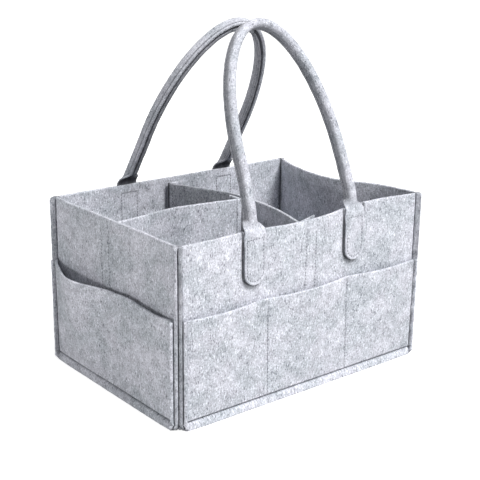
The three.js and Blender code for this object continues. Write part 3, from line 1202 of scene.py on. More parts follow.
    def blank(self, layer: Layer) -> Blank:
        """Cuts one layer of this side.

        Args:
            layer: The wall or the pocket.

        Returns:
            The blank, ready to be laid.
        """
        top, end = self.top(layer), self.end(layer)
        limit = self.tip(layer) - Blank.edge
        marks = [bend - end for bend in self.paths[layer].bends()]
        marks += [*self.seams, *self.upright_marks()]
        columns = stations(-limit, limit, self.pitch, marks)
        rows = [height / top for height in stations(0, top, self.pitch, self.level_marks())]
        name = f"{self.name}_{layer.name.lower()}_felt"
        return Blank(name, columns, rows, self.lay(layer), self.pattern.felt, partial(self.cut, layer),
                     self.seed + layer.value, partial(self.painted_shade, layer))

    def upright(self, layer: Layer, run: float, low: float, high: float, outer: bool = True) -> SeamLine:
        """Returns a line of stitches that runs up a layer."""
        depth = self.pattern.felt / 2 if outer else -self.pattern.felt / 2
        return SeamLine(self.lay(layer), depth, [(run, low), (run, high)])


@dataclass
class LongSide(BoxSide):
    """A long side, whose pocket is sewn through twice and bulges in three shallow arches."""

    fullest: float = 4.6 * MM
    arch_power: float = 0.85
    rise_power: float = 0.8
    fin_trim: float = 1.8 * MM
    tip_shade: float = 0.4
    foot_shade: float = 0.35
    bow_reach: float = 28 * MM
    tab_inset: float = 3.2 * MM
    tab_shift: float = 0.0
    # painted shade along the stitches of the tabs, on the inside of the wall
    bar_shade: float = 0.5
    bar_fade: float = 1 * MM
    round_start: float = 6 * MM
    round_end: float = 14 * MM
    # painted contact shadow on the wall along the edge of each tab
    contact_shadow: float = 0.9
    contact_shadow_offset: float = 0.5 * MM
    contact_shadow_reach: float = 1.3 * MM

    def slackness(self, run: float) -> float:
        """Returns the share of the bow at one place along the wall: most under the handle's tabs."""
        return dip(abs(run) - self.pattern.tab_middle, self.bow_reach)

    def upright_marks(self) -> list[float]:
        """Lists the runs, seams apart, beside which the columns of a blank lie closer together.

        Returns:
            The rows of stitches of the tape and of the handle's tabs, and the painted contact shadow beside
            each tab.
        """
        reach = self.pattern.strap_width / 2 - self.tab_inset
        edge = self.pattern.strap_width / 2 + self.contact_shadow_offset
        tabs = [self.tab_shift + hand * self.pattern.tab_middle for hand in (-1, 1)]
        return [*self.tape_rows, *(tab + offset for tab in tabs for offset in (-edge, -reach, reach))]

    def tab_contact_shadow(self, run: float, height: float) -> float:
        """Tells how dark the painted contact shadow is where the edge of a handle's tab lies against the
        wall.

        Args:
            run: Place along the side.
            height: Place up the side.

        Returns:
            The darkness.
        """
        half = self.pattern.strap_width / 2
        beside = min(abs(run - self.tab_shift - hand * self.pattern.tab_middle) for hand in (-1, 1))
        below = max(0.0, self.pattern.tab_bottom + half - height)
        return self.contact_shadow * dip(math.hypot(beside, below) - half - self.contact_shadow_offset, self.contact_shadow_reach)

    def tab_stitch_shade(self, run: float, height: float) -> float:
        """Tells how dark the painted shade is along the stitches of the handle's tabs, on the inside of the
        wall.

        Args:
            run: Place along the side.
            height: Place up the side.

        Returns:
            The shade along each tab's bar and along its two upright rows.
        """
        p = self.pattern
        reach = p.strap_width / 2 - self.tab_inset
        beside = abs(abs(run - self.tab_shift) - p.tab_middle)
        bar = self.bar_shade * dip(height - p.tab_seam, self.shade_reach)
        bar *= ease(reach - beside, -self.bar_fade, 0)
        below = ease(p.tab_seam - height, -self.bar_fade, 0)
        below *= ease(height - p.tab_bottom, self.round_start, self.round_end)
        return max(bar, self.row_shade * dip(beside - reach, self.shade_reach) * below)

    def bulge(self, run: float, height: float) -> float:
        """Tells how far the pocket gapes: three arches between the seams.

        Args:
            run: Place along the side.
            height: Place up the side.

        Returns:
            The distance from the wall.
        """
        lines = (-self.half, *self.seams, self.half)
        for left, right in zip(lines, lines[1:]):
            if left < run < right:
                share = (run - left) / (right - left)
                arch = (4 * share * (1 - share)) ** self.arch_power
                rise = self.fullness(height, self.pattern.pocket_top) ** self.rise_power
                return self.fullest * arch * rise
        return 0.0


@dataclass
class ShortSide(BoxSide):
    """A short side, whose single pocket gapes near one corner and lies on the wall near the other."""

    fin_trim: float = 1.2 * MM
    fullest: float = 18 * MM
    loose: float = 4.5 * MM
    crest_start: float = 0.01
    crest: float = 0.26
    crest_end: float = 0.53
    held_start: float = 0.06
    held_end: float = 0.9
    rise_power: float = 0.75
    bow_start: float = 0.18
    bow_peak: float = 0.55
    raised: float = 2.4 * MM
    raised_share: float = 0.66
    raised_reach: float = 0.11
    corner_rise: float = 3.4 * MM
    corner_rise_reach: float = 0.07

    def share(self, run: float) -> float:
        """Returns the share of the way along the side, from 0 at its first corner to 1."""
        return run / (2 * self.half) + 0.5

    def slackness(self, run: float) -> float:
        """Tells the share of the bow at one place along the wall: most behind its middle.

        Args:
            run: Place along the side.

        Returns:
            The share.
        """
        share = self.share(run)
        fall = math.cos(math.pi / 2 * clamp((share - self.bow_peak) / (1 - self.bow_peak)))
        return ease(share, self.bow_start, self.bow_peak) * fall

    def edge_lift(self, layer: Layer, run: float) -> float:
        """Tells how far a layer's top edge rises: the pocket's stands up where it meets the wall again.

        Args:
            layer: The wall or the pocket.
            run: Place along the side.

        Returns:
            The rise.
        """
        if layer is Layer.WALL:
            return super().edge_lift(layer, run)
        share = self.share(run)
        corner = self.corner_rise * dip(share, self.corner_rise_reach)
        return corner + self.raised * dip(share - self.raised_share, self.raised_reach)

    def bulge(self, run: float, height: float) -> float:
        """Tells how far the pocket gapes: one slack fold near its first corner.

        Args:
            run: Place along the side.
            height: Place up the side.

        Returns:
            The distance from the wall.
        """
        share = self.share(run)
        gape = ease(share, self.crest_start, self.crest) * (1 - ease(share, self.crest, self.crest_end))
        held = ease(share, 0.0, self.held_start) * (1 - ease(share, self.held_end, 1.0))
        stand = self.fullest * gape + self.loose * (1 - gape) * held
        return stand * self.fullness(height, self.pattern.pocket_top) ** self.rise_power


@dataclass
class Box:
    """The sewn box: floor, walls, pockets and the seams that hold them."""

    pattern: Pattern
    maker: Maker
    sewing: Sewing
    tape_inset: float = 1.5 * MM
    front_bow: float = 4.0 * MM
    right_bow: float = 24 * MM
    front_swells: tuple[Swell, ...] = (
        Swell(105 * MM, 45 * MM, 4.3 * MM), Swell(155 * MM, 22 * MM, 1.0 * MM),
        Swell(-20 * MM, 45 * MM, -2.0 * MM),
    )
    right_swells: tuple[Swell, ...] = (Swell(-109 * MM, 50 * MM, 2.3 * MM),)
    front_tab_shift: float = -3 * MM
    floor_reach: float = 1.8 * MM
    floor_pitch: float = 6 * MM
    seam_end: float = 3 * MM

    def __post_init__(self) -> None:
        """Draws the four sides, each as if it were the front."""
        p = self.pattern
        low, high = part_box("front_pocket_right_seam")
        seam = (low.x + high.x) / 2
        quarter = math.pi / 2
        self.front = LongSide(
            "front", 0.0, p.half_length, p.half_width, p, (-seam, seam),
            self.tape_rows("front_wall_loop_tape", 1, 0), self.front_bow, self.front_swells,
            seed=1.7, tip_shade=0.45, tab_shift=self.front_tab_shift)
        self.right = ShortSide(
            "right", quarter, p.half_width, p.half_length, p,
            bow=self.right_bow, swells=self.right_swells, seed=3.1)
        self.back = LongSide(
            "back", 2 * quarter, p.half_length, p.half_width, p, (-seam, seam),
            self.tape_rows("back_wall_loop_tape", -1, 0), seed=5.3)
        self.left = ShortSide(
            "left", -quarter, p.half_width, p.half_length, p, (),
            self.tape_rows("left_wall_loop_tape", -1, 1), seed=7.9, tip_shade=0.2)

    def tape_rows(self, node: str, sign: float, axis: int) -> tuple[float, float]:
        """Finds the two rows of stitches of a wall's loop tape.

        Args:
            node: The tape's node.
            sign: 1 where the side runs with the axis, -1 where it runs against it.
            axis: 0 for a tape that lies along x, 1 for one along y.

        Returns:
            Where they lie along the side, the lower first.
        """
        low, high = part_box(node)
        edges = (low[axis] + self.tape_inset, high[axis] - self.tape_inset)
        return tuple(sorted(sign * edge for edge in edges))

    def build(self) -> None:
        """Makes every panel of the box and its seams."""
        self.build_floor()
        for side in (self.front, self.right, self.back, self.left):
            for layer in Layer:
                blank = side.blank(layer)
                made = self.maker.piece(blank.name, blank.mesh(), Slot.FELT)
                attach(made, Body.BOX.value)
                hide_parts(f"{side.name}_{layer.name.lower()}")
                2 * side.tip(layer)
                side.top(layer)
            self.sew(side)

    def lay_floor(self, x: float, y: float, depth: float) -> Vector:
        """Lays one point of the floor panel, which is flat below."""
        return Vector((x, y, max(0.0, self.pattern.felt / 2 + depth)))

    def build_floor(self) -> None:
        """Makes the floor panel."""
        p = self.pattern
        length = p.half_length + self.floor_reach - Blank.edge
        width = p.half_width + self.floor_reach - Blank.edge
        columns = stations(-length, length, self.floor_pitch)
        rows = stations(-width, width, self.floor_pitch)
        blank = Blank("base_panel_felt", columns, rows, self.lay_floor, p.felt, seed=11.3)
        made = self.maker.piece(blank.name, blank.mesh(), Slot.FELT)
        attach(made, Body.BOX.value)
        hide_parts("base_panel")
        flat = (2 * (p.half_length + self.floor_reach), 2 * (p.half_width + self.floor_reach))

    def sew(self, side: BoxSide) -> None:
        """Sews the rows of stitches of one side.

        Args:
            side: The side that is sewn.
        """
        p = self.pattern
        foot = side.groove_height
        corner = []
        below, above = p.pocket_top - self.seam_end, p.pocket_top + self.seam_end
        for sign in (-1, 1):
            outer = sign * side.root(Layer.POCKET)
            inner = sign * side.root(Layer.WALL)
            corner.append(side.upright(Layer.POCKET, outer, foot, below))
            corner.append(side.upright(Layer.WALL, inner, above, p.wall_top - self.seam_end))
        self.sewing.row(f"{side.name}_corner_stitches", corner, Body.BOX)
        reach = side.half - self.seam_end
        hem = SeamLine(side.lay(Layer.POCKET), p.felt / 2, [(-reach, foot), (reach, foot)])
        self.sewing.row(f"{side.name}_foot_stitches", [hem], Body.BOX)
        for hand, seam in zip(("left", "right"), side.seams):
            hand = hand if side.turn == 0 else OTHER_HAND[hand]
            low = foot + self.seam_end
            lines = [side.upright(Layer.POCKET, seam, low, below),
                     side.upright(Layer.WALL, seam, low, below, False)]
            name = f"{side.name}_pocket_{hand}_seam"
            self.sewing.row(f"{name}_stitches", lines, Body.BOX, [name])
        if side.tape_rows:
            low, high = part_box(f"{side.name}_wall_loop_tape")
            lines = [side.upright(Layer.WALL, row, low.z, high.z) for row in side.tape_rows]
            self.sewing.row(f"{side.name}_tape_stitches", lines, Body.BOX)


@dataclass
class Handle:
    """A strap folded in two along its length, with flat round-ended tabs sewn to a wall."""

    pattern: Pattern
    maker: Maker
    sewing: Sewing
    side: LongSide
    body: Body = Body.FRONT_HANDLE
    seed: float = 13.0
    lean: float = math.radians(24.8)
    lean_clearance: float = 13 * MM
    bend: float = 12 * MM
    half_spread: float = 64 * MM
    leg_rise: float = 61 * MM
    arch_rise: float = 136 * MM
    step: float = 0.5 * MM
    top_margin: float = 1.001  # in steps, so that a place on the profile has a point after it
    end_margin: float = 1e-7  # keeps a run within the last stretch of the line
    leg_pitch: float = 1 * MM
    arch_steps: int = 240
    tab_steps: int = 14
    crease: float = 8.3 * MM
    fold: float = math.radians(172)
    fold_power: float = 1.15
    least_fold: float = 0.001
    flat_length: float = 8.5 * MM
    folded_length: float = 21 * MM
    waist: float = 0.07
    neck: float = 0.12
    neck_height: float = 13 * MM
    neck_reach: float = 8 * MM
    curl: float = 0.8 * MM
    curl_fade: float = 8 * MM
    rest_fade: float = 20 * MM
    # painted shade of the strap's wings, fold, raw edges, stitches, tab rims and neck hollows
    outer_shade: float = 0.44
    inner_shade: float = 0.44
    wing_start: float = 3 * MM
    wing_end: float = 6 * MM
    strap_shade: float = 0.14
    raw_shade: float = 0.6
    raw_start: float = 1.2 * MM
    raw_end: float = 0.6 * MM
    row_shade: float = 0.6
    tab_shade: float = 0.12
    rim_shade: float = 0.95
    rim_start: float = 0.8 * MM
    rim_end: float = 0.2 * MM
    hollow_shade: float = 0.95
    hollow_height: float = 14 * MM
    hollow_reach: float = 9 * MM
    stitch_inset: float = 3.2 * MM
    strap_stitch_inset: float = 3.0 * MM
    column_pitch: float = 0.9 * MM
    row_pitch: float = 2.6 * MM
    stitch_pull: float = 0.4 * MM
    stitch_reach: float = 1.1 * MM
    blend_start: float = 2 * MM
    blend_end: float = 16 * MM

    def __post_init__(self) -> None:
        """Draws the strap's middle line and measures along it."""
        p = self.pattern
        self.tab = p.tab_seam - p.tab_bottom
        self.foot = p.tab_bottom - (p.tab_seam + self.lean_clearance)
        self.profile = self.draw_profile()
        self.points = self.draw_line()
        self.runs = [0.0]
        for a, b in zip(self.points, self.points[1:]):
            self.runs.append(self.runs[-1] + (b[0] - a[0]).length)
        self.length = self.runs[-1]

    def draw_profile(self) -> list[tuple[float, float, float]]:
        """Draws how the strap rises from its tab and leans over the box.

        Returns:
            Its y, z and lean at each step of its rise.
        """
        p = self.pattern
        y, z = -p.half_width - p.middle_of(Layer.POCKET), p.tab_bottom
        made = []
        rise = self.foot
        while rise <= self.leg_rise + self.arch_rise + self.step:
            angle = self.lean * ease(rise, -self.bend, self.bend)
            made.append((y, z, angle))
            y += self.step * math.sin(angle)
            z += self.step * math.cos(angle)
            rise += self.step
        return made

    def at_rise(self, rise: float) -> tuple[float, float, float]:
        """Finds a place on the strap's profile.

        Args:
            rise: Distance along the strap above the start of the lean.

        Returns:
            Its y, z and lean.
        """
        place = clamp((rise - self.foot) / self.step, 0, len(self.profile) - self.top_margin)
        i = int(place)
        share = place - i
        return tuple(a + (b - a) * share for a, b in zip(self.profile[i], self.profile[i + 1]))

    def draw_line(self) -> list[tuple[Vector, float]]:
        """Draws the middle line, from one tab's end to the other's.

        Returns:
            Its points with the lean at each.
        """
        spots: list[tuple[float, float]] = []
        tab = self.pattern.tab_middle
        for rise in spread(self.foot, self.leg_rise, self.leg_pitch)[:-1]:
            spots.append((-tab + (tab - self.half_spread) * ease(rise, 0, self.leg_rise), rise))
        leg = len(spots)
        for i in range(self.arch_steps + 1):
            angle = math.pi * (1 - i / self.arch_steps)
            rise = self.leg_rise + self.arch_rise * math.sin(angle)
            spots.append((self.half_spread * math.cos(angle), rise))
        spots += [(-x, rise) for x, rise in reversed(spots[:leg])]
        line = []
        for x, rise in spots:
            y, z, angle = self.at_rise(rise)
            shift = self.side.tab_shift * (1 - ease(rise, 0, self.leg_rise))
            line.append((Vector((x + shift, y, z)), angle))
        return line

    def at(self, run: float) -> tuple[Vector, Vector, Vector]:
        """Finds a place on the middle line.

        Args:
            run: Distance from the end of the first tab.

        Returns:
            The point, the way along the strap and the way out of its face.
        """
        run = clamp(run, 0, self.length - self.end_margin)
        low, high = 0, len(self.runs) - 1
        while high - low > 1:
            middle = (low + high) // 2
            low, high = (middle, high) if self.runs[middle] <= run else (low, middle)
        share = (run - self.runs[low]) / (self.runs[high] - self.runs[low])
        (a, lean_a), (b, lean_b) = self.points[low], self.points[high]
        before = self.points[max(low - 1, 0)][0]
        after = self.points[min(high + 1, len(self.points) - 1)][0]
        along = ((b - before) * (1 - share) + (after - a) * share).normalized()
        lean = lean_a + (lean_b - lean_a) * share
        out = Vector((0, -math.cos(lean), math.sin(lean)))
        normal = (out - along * out.dot(along)).normalized()
        return a.lerp(b, share), along, normal

    def section(self, across: float, fold: float, depth: float) -> tuple[float, float]:
        """Folds a point of the strap's width.

        Args:
            across: Place across the flat strap.
            fold: 0 for a flat strap, 1 for one folded in two.
            depth: Place through the felt.

        Returns:
            Its place across the folded strap and out of its face.
        """
        turn = max(fold, self.least_fold) * self.fold
        radius = self.crease / turn
        bent = clamp(across, -self.crease / 2, self.crease / 2)
        angle = bent / radius
        wing = across - bent
        return ((radius + depth) * math.sin(angle) + wing * math.cos(angle),
                (radius + depth) * math.cos(angle) - radius - wing * math.sin(angle))

    def lay(self, across: float, run: float, depth: float) -> Vector:
        """Lays one point of the strap.

        Args:
            across: Place across the flat strap.
            run: Place along it.
            depth: Place through the felt.

        Returns:
            The point.
        """
        point, along, normal = self.at(run)
        beside = along.cross(normal)
        from_end = min(run, self.length - run)
        fold = self.folded(from_end)
        if depth > 0:
            depth -= self.stitch_pull * dip(self.from_stitches(across, from_end), self.stitch_reach)
            depth -= self.stitch_pull * fold * dip(abs(across) - self.strap_row(), self.stitch_reach)
        slim = self.waist * fold + self.neck * dip(from_end - self.tab - self.neck_height, self.neck_reach)
        b, n = self.section(across * (1 - slim), fold, depth)
        free = 1 - ease(from_end, self.tab - self.curl_fade, self.tab)
        n += self.curl * free * ease(self.past_stitches(across, from_end), 0, self.stitch_inset)
        spot = point + beside * b + normal * n
        top = self.pattern.wall_top
        rest = 1 - ease(spot.z, top, top + self.rest_fade)
        spot.y -= self.side.drift(spot.x, min(spot.z, top)) * rest
        return self.side.round @ spot

    def folded(self, from_end: float) -> float:
        """Returns how far the strap is folded, from 0 on its tab to 1, at a distance from its end."""
        past = from_end - self.tab - self.flat_length
        return clamp(past / (self.folded_length - self.flat_length)) ** self.fold_power

    def strap_row(self) -> float:
        """Returns how far from the strap's middle its long rows of stitches lie."""
        return self.pattern.strap_width / 2 - self.strap_stitch_inset

    def painted_shade(self, across: float, run: float, depth: float) -> float:
        """Tells how dark the painted shade on the strap is: along its stitches, on its raw edges, its wings
        and its fold, on the rims of its tabs and in the hollows of its necks.

        Args:
            across: Place across the flat strap.
            run: Place along it.
            depth: Place through the felt.

        Returns:
            The shade.
        """
        half = self.pattern.strap_width / 2
        from_end = min(run, self.length - run)
        fold = self.folded(from_end)
        row = self.row_shade * dip(abs(across) - self.strap_row(), self.stitch_reach)
        raw = self.raw_shade * ease(across, half - self.raw_start, half - self.raw_end)
        shade = self.inner_shade if across > 0 else self.outer_shade
        wing = shade * ease(abs(across), self.wing_start, self.wing_end)
        tab = self.tab_shade * dip(self.from_stitches(across, from_end), self.stitch_reach)
        hollow = 0.0
        if depth < 0:
            past = self.past_stitches(across, from_end) - self.stitch_inset
            tab = max(tab, self.rim_shade * ease(past, -self.rim_start, -self.rim_end))
            hollow = self.hollow_shade * dip(from_end - self.tab - self.hollow_height, self.hollow_reach)
        return max(max(row, raw, wing, self.strap_shade) * fold + tab * (1 - fold), hollow)

    def past_stitches(self, across: float, from_end: float) -> float:
        """Measures how far a point of a tab lies outside the stitches round it.

        Args:
            across: Place across the strap.
            from_end: Distance from the nearer end of the strap.

        Returns:
            The distance, or 0 above the tab.
        """
        half = self.pattern.strap_width / 2
        if from_end > self.tab:
            return 0.0
        beside = abs(across) if from_end > half else math.hypot(across, from_end - half)
        return beside - half + self.stitch_inset

    def from_stitches(self, across: float, from_end: float) -> float:
        """Measures how far a point lies from the stitches of the nearer tab.

        Args:
            across: Place across the strap.
            from_end: Distance from the nearer end of the strap.

        Returns:
            The distance.
        """
        half = self.pattern.strap_width / 2
        loop = abs(self.past_stitches(across, from_end))
        bar = abs(from_end - self.tab)
        if from_end < self.tab:
            return min(loop, bar)
        return max(bar, abs(across) - half + self.stitch_inset)

    def trim(self, across: float, run: float) -> tuple[float, float]:
        """Rounds the strap's two ends.

        Args:
            across: Place across the square strap.
            run: Place along it.

        Returns:
            Both places on the rounded strap.
        """
        radius = self.pattern.strap_width / 2 - Blank.edge
        end = Blank.edge + radius - math.sqrt(max(0.0, radius ** 2 - across ** 2))
        reach = 2 * radius
        from_end = min(run, self.length - run)
        if from_end >= reach:
            return across, run
        moved = end + from_end * (reach - end) / reach
        return across, moved if run < self.length / 2 else self.length - moved

    def build(self) -> None:
        """Makes the strap with its tabs, and its stitches."""
        half = self.pattern.strap_width / 2 - Blank.edge
        columns = stations(-half, half, self.column_pitch)
        tab = self.tab + self.folded_length
        first = spread(0, tab, self.row_pitch / 2)
        middle = spread(tab, self.length - tab, self.row_pitch)[1:-1]
        rows = [*first, *middle, *(self.length - run for run in reversed(first))]
        face = self.side.name
        blank = Blank(f"{face}_handle_felt", columns, rows, self.lay, self.pattern.felt, self.trim,
                      self.seed + self.side.turn, self.painted_shade)
        made = self.maker.piece(blank.name, blank.mesh(), Slot.FELT)
        made.data.materials[0] = self.maker.wardrobe.strap
        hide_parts(f"{face}_handle_strap", f"{face}_handle_left_tab", f"{face}_handle_right_tab")
        wall = self.side.round @ Vector((0, -self.pattern.half_width, 0))
        start = Vector((0, wall.y, self.pattern.tab_seam + self.blend_start))
        end = Vector((0, wall.y, self.pattern.tab_seam + self.blend_end))
        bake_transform(made)
        self.sew()

    def tab_lines(self, first: bool) -> list[SeamLine]:
        """Draws the stitches round one tab, on its outside and on the inside of the wall.

        Args:
            first: True for the tab where the strap starts.

        Returns:
            The lines over the tab and the lines inside the wall.
        """
        half = self.pattern.strap_width / 2
        radius = half - self.stitch_inset
        angles = [math.pi * (1 + i / self.tab_steps) for i in range(self.tab_steps + 1)]
        arc = [(radius * math.cos(angle), half + radius * math.sin(angle)) for angle in angles]
        loop = [(-radius, self.tab), *arc, (radius, self.tab)]
        bar = [(-radius, self.tab), (radius, self.tab)]
        felt = self.pattern.felt / 2
        middle = self.side.tab_shift + (-self.pattern.tab_middle if first else self.pattern.tab_middle)
        wall = self.side.lay(Layer.WALL)
        lines = []
        for points in (loop, bar):
            on_strap = [(x, run if first else self.length - run) for x, run in points]
            on_wall = [(middle + x, self.pattern.tab_bottom + run) for x, run in points]
            lines.append(SeamLine(self.lay, felt, on_strap))
            lines.append(SeamLine(wall, -felt, on_wall))
        return lines

    def sew(self) -> None:
        """Sews the tabs to the wall and the folded strap to itself."""
        face = self.side.name
        for first, hand in ((True, "left"), (False, "right")):
            hand = hand if self.side.turn == 0 else OTHER_HAND[hand]
            name = f"{face}_handle_{hand}_stitching"
            self.sewing.row(f"{name}_stitches", self.tab_lines(first), Body.BOX, [name])
        edge = self.strap_row()
        start = self.tab + self.folded_length
        lines = [SeamLine(self.lay, self.pattern.felt / 2, [(x, start), (x, self.length - start)])
                 for x in (-edge, edge)]
        self.sewing.row(f"{face}_handle_strap_stitches", lines, self.body)


@dataclass
class BackHandle(Handle):
    """The handle of the back wall, which leans further, starts higher and has darker painted shade on its
    inner wing.
    """

    body: Body = Body.BACK_HANDLE
    lean: float = math.radians(32.4)
    lean_clearance: float = 18 * MM
    half_spread: float = 65 * MM
    arch_rise: float = 143 * MM
    flat_length: float = 10 * MM
    folded_length: float = 28 * MM
    outer_shade: float = 0.1
    inner_shade: float = 0.36


@dataclass
class Divider:
    """A standing partition with a turned flange at each end."""

    name: str
    body: Body
    path: PlanPath
    pattern: Pattern
    maker: Maker
    sewing: Sewing
    seed: float
    flange: float
    bow: float = 0.0
    belly: float = 0.0
    belly_end: float = 0.45
    bend_power: float = 1.5
    wave: float = 1.0 * MM
    wave_scale: tuple[float, float] = (14.0, 10.0)
    free_run: tuple[float, float] = (30 * MM, 70 * MM)
    free_height: tuple[float, float] = (20 * MM, 140 * MM)
    flange_rise: float = 0.0
    rise_height: float = 170 * MM
    edge_wave: float = 0.4 * MM
    edge_wave_scale: tuple[float, float] = (30.0, 4.0)
    # painted shade at the stitches and the folds, and a painted shadow over the back part
    row_shade: float = 0.4
    row_reach: float = 0.9 * MM
    fold_shade: float = 0.97
    fold_reach: float = 1.6 * MM
    back_shade: float = 0.0
    back_band: tuple[float, float] = (0.5, 0.65)
    stitch_inset: float = 5.0 * MM
    pitch: float = 3.2 * MM

    def cut(self, run: float, up: float) -> tuple[float, float]:
        """Moves a point onto the outline, which rises at the end of the first flange.

        Args:
            run: Place along the square blank.
            up: Place up the square blank.

        Returns:
            Both places on the outline.
        """
        across, upward = self.edge_wave_scale
        rise = self.flange_rise * clamp(1 - run / self.flange) * ease(up, 0, self.rise_height)
        return run, up + rise + self.edge_wave * ripple(run * across, up * upward, self.seed)

    def stitch_runs(self) -> list[float]:
        """Returns where the upright rows of stitches lie along the partition."""
        near = (self.stitch_inset, self.flange + self.stitch_inset)
        return [*near, *(self.path.length - run for run in near)]

    def painted_shade(self, run: float, height: float, depth: float) -> float:
        """Tells how dark the painted shade on the partition is.

        Args:
            run: Place along the partition.
            height: Place up the partition.
            depth: Place through the felt, below 0 on the face that its folds close on.

        Returns:
            The shade at its stitches, and on that face at its folds and over its back part, a painted shadow.
        """
        # painted shade along the stitches, the folds and the back part
        pressed = self.row_shade * max(dip(run - row, self.row_reach) for row in self.stitch_runs())
        if depth > 0:
            return pressed
        folds = (self.flange, self.path.length - self.flange)
        pressed = max(pressed, *(self.fold_shade * dip(run - fold, self.fold_reach) for fold in folds))
        return max(pressed, self.back_shade * ease(run / self.path.length, *self.back_band))

    def lay(self, run: float, height: float, depth: float) -> Vector:
        """Lays one point of the partition.

        Args:
            run: Place along the partition.
            height: Place up the partition.
            depth: Place through the felt.

        Returns:
            The point.
        """
        point, normal = self.path.at(clamp(run, 0, self.path.length))
        along, up = self.wave_scale
        ends = min(run, self.path.length - run)
        free = ease(ends, *self.free_run) * ease(height, *self.free_height)
        share = clamp((run - self.flange) / (self.path.length - 2 * self.flange))
        slack = self.wave * free * ripple(run * along, height * up, self.seed)
        belly = self.belly * math.sin(math.pi * clamp(share / self.belly_end)) ** self.bend_power
        bow = self.bow * math.sin(math.pi * share) ** self.bend_power
        spot = point + normal * (depth + slack + belly - bow)
        return Vector((spot.x, spot.y, height))

    def build(self, rows: tuple[float, float]) -> None:
        """Makes the partition and its stitches.

        Args:
            rows: Lower and upper end of the rows of stitches.
        """
        low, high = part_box(self.name)
        marks = [*self.path.bends(), *self.stitch_runs()]
        columns = stations(Blank.edge, self.path.length - Blank.edge, self.pitch, marks)
        heights = stations(low.z + Blank.edge, high.z - Blank.edge, self.pitch)
        blank = Blank(f"{self.name}_felt", columns, heights, self.lay, self.pattern.felt, self.cut, self.seed,
                      self.painted_shade)
        made = self.maker.piece(blank.name, blank.mesh(), Slot.FELT)
        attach(made, self.body.value)
        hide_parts(self.name)
        half = self.pattern.felt / 2
        lines = []
        for run in self.stitch_runs():
            for depth in (-half, half):
                lines.append(SeamLine(self.lay, depth, [(run, rows[0]), (run, rows[1])]))
        self.sewing.row(f"{self.name}_stitches", lines, self.body)


